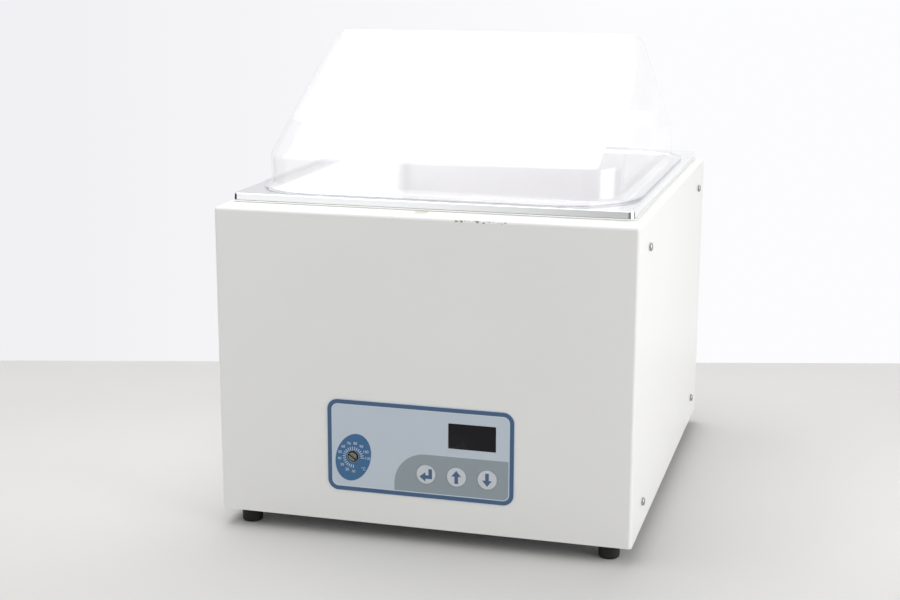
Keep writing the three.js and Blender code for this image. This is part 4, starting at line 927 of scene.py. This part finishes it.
label = dict(
    halfWidth=78.0, low=39.5, high=117.3, corner=9.5, face=-200.5, film=0.4, ink=0.04,
    outset=0.02, edge=0.7, band=3.5, line=0.7, shadeLeft=-21.0, shadeTop=76.5, shadeCorner=26.0,
)
dial = dict(
    middle=(-55.7, 68.7), halfWidth=14.56, halfHeight=20.43, tilt=18.0,
    tickInner=6.3, tickOuter=8.9, tickWidth=0.55,
    ticks=21, firstAngle=-90.0, sweep=-270.0, numberRadius=11.9, numberSize=3.3, numbers=11,
    unitAngle=-47.0, unitOut=0.6, unitShare=1.1,
)


def labelFrame(bm, inset):
    spec = label
    return roundedLoop(bm, (inset - spec["halfWidth"], spec["low"] + inset),
                       (spec["halfWidth"] - inset, spec["high"] - inset), spec["corner"] - inset, 12)


def inkPiece(name, bm, ink):
    turnToFront(bm, label["face"])
    finished(name, bm, inks[ink], "chassis")


def makeLabel():
    spec = label
    bm = bmesh.new()
    loops = labelFrame(bm, 0) + frontHoles(bm)
    plate(bm, loops, spec["film"])
    turnToFront(bm, spec["face"] + spec["film"])
    finished("front_film", bm, finishes["label_film"], "chassis", ["front_label"])

    inner = spec["edge"] + spec["band"]
    inset = inner + spec["line"]
    frames = (
        ("film_pale_edge", "pale", spec["outset"], spec["edge"], spec["ink"] / 2),
        ("film_border", "blue", spec["edge"], inner, spec["ink"]),
        ("film_inner_line", "line", inner, inset, spec["ink"]),
    )
    for name, ink, outside, inside, thick in frames:
        bm = bmesh.new()
        plate(bm, labelFrame(bm, outside) + labelFrame(bm, inside), thick)
        inkPiece(name, bm, ink)

    # Darker field behind the keys, with one broad corner
    bm = bmesh.new()
    field = roundedLoop(bm, (spec["shadeLeft"], spec["low"] + inset),
                        (spec["halfWidth"] - inset, spec["shadeTop"]),
                        [0, spec["corner"] - inset, 0, spec["shadeCorner"]], 16)
    plate(bm, field + keyHoles(bm), spec["ink"] / 2)
    inkPiece("film_key_field", bm, "shade")


makeLabel()


def numeral(text, size):
    # Plain figures as a thin solid, centred on the origin
    curve = bpy.data.curves.new("numeral", "FONT")
    curve.body = text
    curve.size = size
    curve.align_x = "CENTER"
    curve.align_y = "CENTER"
    curve.resolution_u = 3
    drawn = standing("numeral", curve)
    mesh = bpy.data.meshes.new_from_object(drawn.evaluated_get(bpy.context.evaluated_depsgraph_get()))
    bpy.data.objects.remove(drawn)
    return mesh


def makeDial():
    spec = dial
    middleX, middleZ = spec["middle"]
    bm = bmesh.new()
    rim = roundLoop(bm, (0, 0), 1.0, 72)
    rimVerts = list({vert for edge in rim for vert in edge.verts})
    bmesh.ops.scale(bm, vec=(spec["halfWidth"], spec["halfHeight"], 1), verts=rimVerts)
    turnBy(bm, rimVerts, -spec["tilt"])
    moveBy(bm, rimVerts, (middleX, middleZ, 0))
    plate(bm, rim + dialHole(bm), label["ink"])
    inkPiece("dial_field", bm, "dial")

    def angleOf(index, count):
        return spec["firstAngle"] + spec["sweep"] * index / (count - 1)

    def printOnDial(name):
        raiseFaces(bm, bm.faces[:], label["ink"] / 2)
        moveBy(bm, bm.verts, (middleX, middleZ, label["ink"]))
        inkPiece(name, bm, "line")

    bm = bmesh.new()
    wide = spec["tickWidth"] / 2
    for i in range(spec["ticks"]):
        tick = roundedFace(bm, (spec["tickInner"], -wide), (spec["tickOuter"], wide), radii=0)
        turnBy(bm, tick, angleOf(i, spec["ticks"]))
    printOnDial("dial_ticks")

    bm = bmesh.new()
    radius, size = spec["numberRadius"], spec["numberSize"]
    marks = [(str(10 * (i + 1)), angleOf(i, spec["numbers"]), radius, size) for i in range(spec["numbers"])]
    marks.append(("°C", spec["unitAngle"], radius + spec["unitOut"], size * spec["unitShare"]))
    for text, degrees, radius, size in marks:
        before = set(bm.verts)
        bm.from_mesh(numeral(text, size))
        fresh = [vert for vert in bm.verts if vert not in before]
        angle = math.radians(degrees)
        moveBy(bm, fresh, (radius * math.cos(angle), radius * math.sin(angle), 0))
    printOnDial("dial_numbers")


makeDial()
print("label printed")

# The pane through the front, then the wider flange behind it: added width, front and back
windowSteps = ((0.0, label["face"], -197.6), (2.0, -198.6, -197.1))
windowEase = 0.15


def makeWindow():
    x, z = front["windowX"], front["windowZ"]
    bm = bmesh.new()
    for more, near, far in windowSteps:
        wide, tall = (side / 2 + more for side in front["windowSize"])
        block(bm, (x - wide, near, z - tall), (x + wide, far, z + tall), windowEase)
    finished("window_filter", bm, finishes["dark_window"], "chassis", ["display_window"])


makeWindow()

keyCap = dict(
    face=-201.1, crown=0.08, edge=0.35, flangeFront=-198.6, flangeBack=-197.4, flangeRadius=9.25,
    stemRadius=2.5, stemBack=-195.1,
)
arrow = dict(
    length=10.8, headWidth=8.0, headLength=4.9, stem=3.0, proud=0.02,
    enterLength=10.4, enterRise=6.8, enterMiddle=-2.0,
)


def flatShape(bm, corners):
    verts = [bm.verts.new((x, y, 0)) for x, y in corners]
    edges = [bm.edges.new(pair) for pair in zip(verts, verts[1:] + verts[:1])]
    bmesh.ops.contextual_create(bm, geom=edges)


def keySigns():
    half = arrow["length"] / 2
    head, stem = arrow["headWidth"] / 2, arrow["stem"] / 2
    neck = half - arrow["headLength"]
    up = [(-stem, -half), (stem, -half), (stem, neck), (head, neck), (0, half), (-head, neck), (-stem, neck)]
    # The enter sign points left, and its shaft bends up at the right end
    middle = arrow["enterMiddle"]
    left, right = -arrow["enterLength"] / 2, arrow["enterLength"] / 2
    neckX, bendX, top = left + arrow["headLength"], right - arrow["stem"], arrow["enterRise"] + middle
    enter = [(left, middle), (neckX, middle - head), (neckX, middle - stem), (right, middle - stem),
             (right, top), (bendX, top), (bendX, middle + stem), (neckX, middle + stem),
             (neckX, middle + head)]
    return {"enter": enter, "up": up, "down": [(-x, -y) for x, y in up]}


def makeKeys():
    cap = keyCap
    radius, edge, flange, stem = front["keyRadius"], cap["edge"], cap["flangeRadius"], cap["stemRadius"]
    face, shoulder, back, tail = -cap["face"], -cap["flangeFront"], -cap["flangeBack"], -cap["stemBack"]
    profile = [(0, face), (radius, face - cap["crown"], edge), (radius, shoulder), (flange, shoulder),
               (flange, back), (stem, back), (stem, tail), (0, tail)]
    for (name, sign), x in zip(keySigns().items(), front["keyX"]):
        bm = bmesh.new()
        turned(bm, profile)
        moveBy(bm, bm.verts, (x, front["keyZ"], 0))
        turnToFront(bm, 0)
        finished(f"keycap_{name}", bm, finishes["key_film"], f"{name}_key", [f"key_{name}"])
        bm = bmesh.new()
        flatShape(bm, sign)
        raiseFaces(bm, bm.faces[:], cap["crown"] + arrow["proud"])
        moveBy(bm, bm.verts, (x, front["keyZ"], 0))
        turnToFront(bm, cap["face"] + cap["crown"])
        finished(f"keycap_{name}_sign", bm, inks["arrow"], f"{name}_key")


makeKeys()

setScrew = dict(
    radius=3.5, tip=201.9, tail=189.0, edge=0.5, slotWidth=1.2, slotDepth=1.6, slotTurn=-35.0,
    slotReach=5.0, slotOver=2.0, ringInner=3.95, ringOuter=4.95, ringBack=199.0, ringFront=200.4,
    ringSlope=199.4, ringLand=0.3,
)


def makeSetScrew():
    spec = setScrew
    tip, tail, radius = spec["tip"], spec["tail"], spec["radius"]
    bm = bmesh.new()
    turned(bm, [(0, tip), (radius, tip, spec["edge"]), (radius, tail), (0, tail)], sides=36)
    piece = standing("set_screw_shaft", meshFrom("set_screw_shaft", bm))
    slot = bmesh.new()
    reach, half = spec["slotReach"], spec["slotWidth"] / 2
    block(slot, (-reach, -half, tip - spec["slotDepth"]), (reach, half, tip + spec["slotOver"]))
    turnBy(slot, slot.verts, spec["slotTurn"])
    cutAway(piece, slot)
    bm = redrawn(piece.data)
    moveBy(bm, bm.verts, (front["dialX"], front["dialZ"], 0))
    turnToFront(bm, 0)
    piece.data = meshFrom("set_screw_shaft", bm)
    dress(piece, finishes["worn_screw"], "limiter_dial", ["limiter_set_screw"])
    # Bright countersunk ring in the hole round the shaft
    inner, outer, back, top = spec["ringInner"], spec["ringOuter"], spec["ringBack"], spec["ringFront"]
    bm = bmesh.new()
    turned(bm, [(inner, back), (outer, back), (outer, top), (outer - spec["ringLand"], top),
                (inner, spec["ringSlope"]), (inner, back)], sides=40)
    moveBy(bm, bm.verts, (front["dialX"], front["dialZ"], 0))
    turnToFront(bm, 0)
    finished("dial_bushing", bm, finishes["screw_steel"], "chassis")


makeSetScrew()
print("window, keys and set screw fitted")

# Fasteners: one pan head with a cross recess, copied to every place

panScrews = {
    "case": dict(head=3.4, rise=2.2, shank=1.8, length=7.0, recess=2.3, recessWidth=0.75, recessDepth=1.3),
    "foot": dict(head=4.0, rise=2.8, shank=2.0, length=11.2, recess=2.7, recessWidth=0.9, recessDepth=1.6),
}
# What both have in common: shares of the head, roundings and turns
panHead = dict(
    tipEase=0.4, side=0.55, sideEase=0.3, crown=(0.72, 0.94), crownEase=0.5, taper=(0.45, 0.6, 1),
    recessOver=2.0, recessTurn=20, nextTurn=47,
)
foot = dict(
    radius=8.5, top=13.8, edge=2.0, smallEdge=0.4, recess=4.4, recessDepth=6.0, bore=2.4, screwLevel=5.8,
)
footPlaces = {
    "front_left": (-151.5, -183), "rear_left": (-151.5, 183),
    "front_right": (151.5, -183), "rear_right": (151.5, 183),
}


def panScrewMesh(head, rise, shank, length, recess, recessWidth, recessDepth):
    spec = panHead
    across, up = spec["crown"]
    bm = bmesh.new()
    turned(bm, [(0, -length), (shank, -length, spec["tipEase"]), (shank, 0), (head, 0),
                (head, rise * spec["side"], spec["sideEase"]), (head * across, rise * up, spec["crownEase"]),
                (0, rise)], sides=28)
    piece = standing("pan_screw", meshFrom("pan_screw", bm))
    # The cross recess narrows downwards; its two arms are cut one after the other
    for turn in (0, 90):
        cross = bmesh.new()
        arm = block(cross, (-recess, -recessWidth / 2, rise - recessDepth),
                    (recess, recessWidth / 2, rise + spec["recessOver"]))
        low = [vert for vert in arm if vert.co.z < rise]
        bmesh.ops.scale(cross, vec=spec["taper"], verts=low)
        turnBy(cross, arm, turn + spec["recessTurn"])
        cutAway(piece, cross)
    mesh = piece.data
    bpy.data.objects.remove(piece)
    return mesh


def makeFasteners():
    # Name, kind, axis and degrees of the turn, and place of each screw
    places = []
    lift = case["screwLift"]
    for side, sideName in ((-1, "left"), (1, "right")):
        for y, row in zip(case["sideScrewY"], ("front", "rear")):
            for z, height in zip(case["sideScrewZ"], ("low", "high")):
                spot = (side * (case["halfWidth"] + lift), y, z)
                places.append((f"side_screw_{sideName}_{row}_{height}", "case", "Y", 90 * side, spot))
        for z, height in zip(case["backScrewZ"], ("low", "high")):
            spot = (side * case["backScrewX"], case["back"] + lift, z)
            places.append((f"back_screw_{sideName}_{height}", "case", "X", -90, spot))
    for corner, (x, y) in footPlaces.items():
        places.append((f"foot_screw_{corner}", "foot", "X", 180, (x, y, foot["screwLevel"])))
    masters = {kind: panScrewMesh(**spec) for kind, spec in panScrews.items()}
    for index, (node, kind, axis, degrees, spot) in enumerate(places):
        bm = redrawn(masters[kind])
        turnBy(bm, bm.verts, panHead["nextTurn"] * index)
        turnBy(bm, bm.verts, degrees, axis)
        moveBy(bm, bm.verts, spot)
        finished(f"pan_{node}", bm, finishes["screw_steel"], "chassis", [node], sharp=28)


makeFasteners()


def makeFeet():
    spec = foot
    radius, top, small = spec["radius"], spec["top"], spec["smallEdge"]
    bore, recess, depth = spec["bore"], spec["recess"], spec["recessDepth"]
    profile = [(bore, depth), (recess, depth), (recess, 0, small), (radius, 0, spec["edge"]),
               (radius, top, small), (bore, top), (bore, depth)]
    for corner, (x, y) in footPlaces.items():
        bm = bmesh.new()
        turned(bm, profile, sides=40)
        moveBy(bm, bm.verts, (x, y, 0))
        finished(f"bumper_{corner}", bm, finishes["black_rubber"], "chassis",
                 [f"foot_{corner}"])


makeFeet()
print("fasteners and feet fitted")

# Perforated shelf on the tank floor, with bent legs

tray = dict(
    corner=24.0, low=135.0, sheet=1.0, hole=5.0, pitch=34.0, margin=24.0, finger=12.0,
    fingerInset=23.0, legWidth=24.0, legInset=22.0, legShare=0.62, legFoot=125.2, legEase=0.2,
)


def makeTray():
    spec = tray
    low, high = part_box("diffuser_tray")
    middleX, middleY = (low.x + high.x) / 2 / mm, (low.y + high.y) / 2 / mm
    halfX, halfY = (high.x - low.x) / 2 / mm, (high.y - low.y) / 2 / mm
    bm = bmesh.new()
    loops = roundedLoop(bm, (-halfX, -halfY), (halfX, halfY), spec["corner"], 10)
    fingerX = halfX - spec["fingerInset"]
    for side in (-1, 1):
        loops += roundLoop(bm, (side * fingerX, 0), spec["finger"], 36)
    columns = int((halfX - spec["margin"]) // spec["pitch"])
    rows = int((halfY - spec["margin"]) // spec["pitch"])
    for i in range(-columns, columns + 1):
        for j in range(-rows, rows + 1):
            x, y = i * spec["pitch"], j * spec["pitch"]
            if math.hypot(abs(x) - fingerX, y) >= spec["finger"] + 2 * spec["hole"]:
                loops += roundLoop(bm, (x, y), spec["hole"], 20)
    plate(bm, loops, spec["sheet"])
    moveBy(bm, bm.verts, (0, 0, spec["low"]))
    for side in (-1, 1):
        for end in (-1, 1):
            x, y = side * (halfX - spec["legInset"]), end * spec["legShare"] * halfY
            thick, wide = spec["sheet"] / 2, spec["legWidth"] / 2
            block(bm, (x - thick, y - wide, spec["legFoot"]), (x + thick, y + wide, spec["low"] + thick),
                  spec["legEase"])
    moveBy(bm, bm.verts, (middleX, middleY, 0))
    finished("perforated_shelf", bm, finishes["stainless"], "shelf", ["diffuser_tray"])


makeTray()

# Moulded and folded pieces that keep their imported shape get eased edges, so that they catch light

easedPieces = {
    "mains_inlet": dict(name="inlet_moulding", body="chassis", finish="black_plastic", width=0.35),
    "fuse_drawer": dict(name="fuse_drawer_moulding", body="fuse_carrier", finish="black_plastic", width=0.25),
    "switch_housing": dict(name="switch_bezel", body="chassis", finish="black_plastic", width=0.35),
    "power_rocker": dict(name="rocker_moulding", body="rocker", finish="black_plastic", width=0.45),
    "terminal_block": dict(name="terminal_moulding", body="chassis", finish="white_plastic", width=0.3),
    "heater_relay": dict(name="relay_case", body="chassis", finish="black_plastic", width=0.4),
    "base_pan": dict(name="base_tray", body="chassis", finish="zinc_sheet", width=0.25),
    "limiter_housing": dict(name="limiter_case", body="chassis", finish="white_plastic", width=0.3),
}


flatAngle = math.radians(1)  # faces that lean less against each other become one
cornerAngle = math.radians(40)  # edges that turn by more are eased


def easedCopy(node, name, body, finish, width):
    bm = redrawn(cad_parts[node].data)
    bmesh.ops.remove_doubles(bm, verts=bm.verts, dist=1e-3)
    bmesh.ops.dissolve_limit(bm, angle_limit=flatAngle, verts=bm.verts, edges=bm.edges)
    corners = [edge for edge in bm.edges if edge.is_manifold and edge.calc_face_angle() > cornerAngle]
    ease(bm, corners, width, 2, clamp=True)
    finished(name, bm, finishes[finish], body, [node])


for node, spec in easedPieces.items():
    easedCopy(node, **spec)

# On and off marks, printed on the two faces of the rocker, each leaning back from upright

rockerMarks = dict(
    across=63.5, film=0.08, barWide=1.0, barTall=5.2, ringOuter=2.6, ringInner=1.7,
    on=dict(lean=18.67, y=203.53, z=70.56), off=dict(lean=1.31, y=201.13, z=56.97),
)


def rockerMark(name, bm, lean, y, z):
    turnBy(bm, bm.verts, -90 - lean, "X")
    moveBy(bm, bm.verts, (rockerMarks["across"], y, z))
    finished(name, bm, inks["white"], "rocker")


def makeRockerMarks():
    spec = rockerMarks
    wide, tall = spec["barWide"] / 2, spec["barTall"] / 2
    bm = bmesh.new()
    flatShape(bm, [(-wide, -tall), (wide, -tall), (wide, tall), (-wide, tall)])
    raiseFaces(bm, bm.faces[:], spec["film"])
    rockerMark("rocker_mark_on", bm, **spec["on"])
    bm = bmesh.new()
    ring = roundLoop(bm, (0, 0), spec["ringOuter"]) + roundLoop(bm, (0, 0), spec["ringInner"])
    plate(bm, ring, spec["film"])
    rockerMark("rocker_mark_off", bm, **spec["off"])


makeRockerMarks()
print("shelf, inlet and switch fitted")

# Floor, light and camera: a pale bench that ends behind the bath, with white beyond it

stage = dict(
    azimuth=15.455, elevation=12.821, roll=0.179, eye=(346.66, -1364.34, 478.83), lens=63.898, sensor=36.0,
    clip=0.05,
)
bench = dict(
    edge=(-128.0, 353.0), wide=1100.0, deep=1500.0, colour=(226, 225, 223), shadeAndMottleColour=(196, 195, 193),
    paintedShadeY=(-0.75, -0.05), mottle=2.4, mottleShare=0.5, grain=160, gloss=0.62, wander=0.1, depth=1e-5,
)


def viewAxes():
    azimuth, elevation = math.radians(stage["azimuth"]), math.radians(stage["elevation"])
    roll = math.radians(stage["roll"])
    back = Vector((math.sin(azimuth) * math.cos(elevation), -math.cos(azimuth) * math.cos(elevation),
                   math.sin(elevation)))
    right = (-back).cross(Vector((0, 0, 1))).normalized()
    up = right.cross(-back)
    rolledRight = right * math.cos(roll) + up * math.sin(roll)
    rolledUp = up * math.cos(roll) - right * math.sin(roll)
    return rolledRight, rolledUp, back


def makeCamera():
    right, up, back = viewAxes()
    camera = bpy.data.objects.new("photo_camera", bpy.data.cameras.new("photo_camera"))
    scene.collection.objects.link(camera)
    camera.data.lens = stage["lens"]
    camera.data.sensor_width = stage["sensor"]
    camera.data.clip_start = stage["clip"]
    turn = Matrix((right, up, back)).transposed().to_4x4()
    camera.matrix_world = Matrix.Translation(Vector(stage["eye"]) * mm) @ turn
    scene.camera = camera


makeCamera()


def makeFloor():
    spec = bench
    surface = Surface("bench_top", {"Specular IOR Level": 0.25})
    mottle = surface.noise(spec["mottle"], 3.0)
    fine = surface.noise(spec["grain"], 2.0)
    y = surface.axes()[1]
    # Painted shade: the bench is painted darker towards the camera, where less light falls; the mottle
    # wanders towards the same darker colour
    near = 1 - y.ramp(*spec["paintedShadeY"])
    base = surface.mix(near, tint(*spec["colour"]), tint(*spec["shadeAndMottleColour"]))
    base = surface.mix(mottle * spec["mottleShare"], base, tint(*spec["shadeAndMottleColour"]))
    surface.give("Base Color", base)
    surface.give("Roughness", spec["gloss"] + fine * spec["wander"])
    surface.bump(fine, spec["depth"])
    bm = bmesh.new()
    roundedFace(bm, (-spec["wide"], -spec["deep"]), (spec["wide"], 0), radii=0)
    turnBy(bm, bm.verts, stage["azimuth"])
    moveBy(bm, bm.verts, (*spec["edge"], 0))
    floor = standing("bench_top", meshFrom("bench_top", bm))
    floor.data.materials.append(surface.material)


makeFloor()

# Softboxes: direction from the bath, distance, size, and radiance where 1 is white
softboxes = {
    "overhead": dict(aim=(0, -0.07, 0.34), direction=(-0.26, 0.273, 0.927), distance=1.2, size=(1.7, 0.8),
                     radiance=3.4),
    "right": dict(aim=(0, 0, 0.25), direction=(0.93, -0.30, 0.22), distance=1.4, size=(1.2, 1.2),
                  radiance=2.6),
    "front": dict(aim=(-0.05, 0, 0.3), direction=(-0.5, -0.68, 0.54), distance=0.95, size=(0.9, 0.7),
                  radiance=1.22),
}


def makeSoftboxes():
    for name, spec in softboxes.items():
        lamp = bpy.data.lights.new(f"softbox_{name}", "AREA")
        lamp.shape = "RECTANGLE"
        lamp.size, lamp.size_y = spec["size"]
        lamp.energy = spec["radiance"] * math.pi * spec["size"][0] * spec["size"][1]
        holder = bpy.data.objects.new(f"softbox_{name}", lamp)
        scene.collection.objects.link(holder)
        away = Vector(spec["direction"]).normalized()
        spot = Vector(spec["aim"]) + away * spec["distance"]
        turn = away.to_track_quat("Z", "Y").to_matrix().to_4x4()
        holder.matrix_world = Matrix.Translation(spot) @ turn


makeSoftboxes()

# The room round the bath. Mirror-like faces also see its unlit parts: direction, and how near to it (1 is
# straight at it) the fall to dark starts and ends. The unlit ones lie below the bench top and don't show
# through the lid, the dim ones are never quite dark.
sky = dict(
    ambient=0.42, left=(241, 240, 243), right=(252, 252, 254), turn=(-0.24, 0.10), dark=(8, 8, 9),
    front=((-0.4, -0.9, 0.0), 0.2, 0.6), benchTop=(-0.02, 0.05),
    unlit=(((0.27, -0.95, 0.0), 0.85, 0.95), ((-0.97, -0.05, 0.0), 0.80, 0.88),
           ((0.90, 0.43, 0.0), 0.92, 0.98)),
    dim=(((-0.42, 0.89, 0.16), 0.97, 1.2), ((0.35, -0.80, 0.45), 0.78, 1.15)),
)


def makeSky():
    world = bpy.data.worlds.new("studio")
    scene.world = world
    world.use_nodes = True
    room = Graph(world.node_tree)
    toward = room.node("ShaderNodeTexCoord", {}, {}, "Generated")

    def near(direction, start, end):
        sockets = {0: toward, 1: Vector(direction).normalized()}
        share = room.node("ShaderNodeVectorMath", {"operation": "DOT_PRODUCT"}, sockets, "Value")
        return share.ramp(start, end)

    walls = room.mix(near(viewAxes()[0], *sky["turn"]), tint(*sky["left"]), tint(*sky["right"]))
    walls = room.mix(near(*sky["front"]), walls, (1, 1, 1, 1))
    unlit = near(*sky["unlit"][0])
    for zone in sky["unlit"][1:]:
        unlit = unlit.most(near(*zone))
    unlit = unlit * (1 - near((0, 0, 1), *sky["benchTop"])) * (1 - room.ray("Transmission"))
    for zone in sky["dim"]:
        unlit = unlit.most(near(*zone))
    walls = room.mix(unlit * room.ray("Glossy"), walls, tint(*sky["dark"]))
    backdrop = room.node("ShaderNodeBackground", {}, {"Color": walls})
    ambient = room.node("ShaderNodeBackground", {}, {"Strength": sky["ambient"], "Color": (1, 1, 1, 1)})
    seen = room.ray("Camera").most(room.ray("Glossy")).most(room.ray("Transmission"))
    whole = room.node("ShaderNodeMixShader", {}, {0: seen, 1: ambient, 2: backdrop})
    room.feed(room.nodes["World Output"].inputs["Surface"], whole)


makeSky()
scene.view_settings.view_transform = "Standard"
print("stage set")
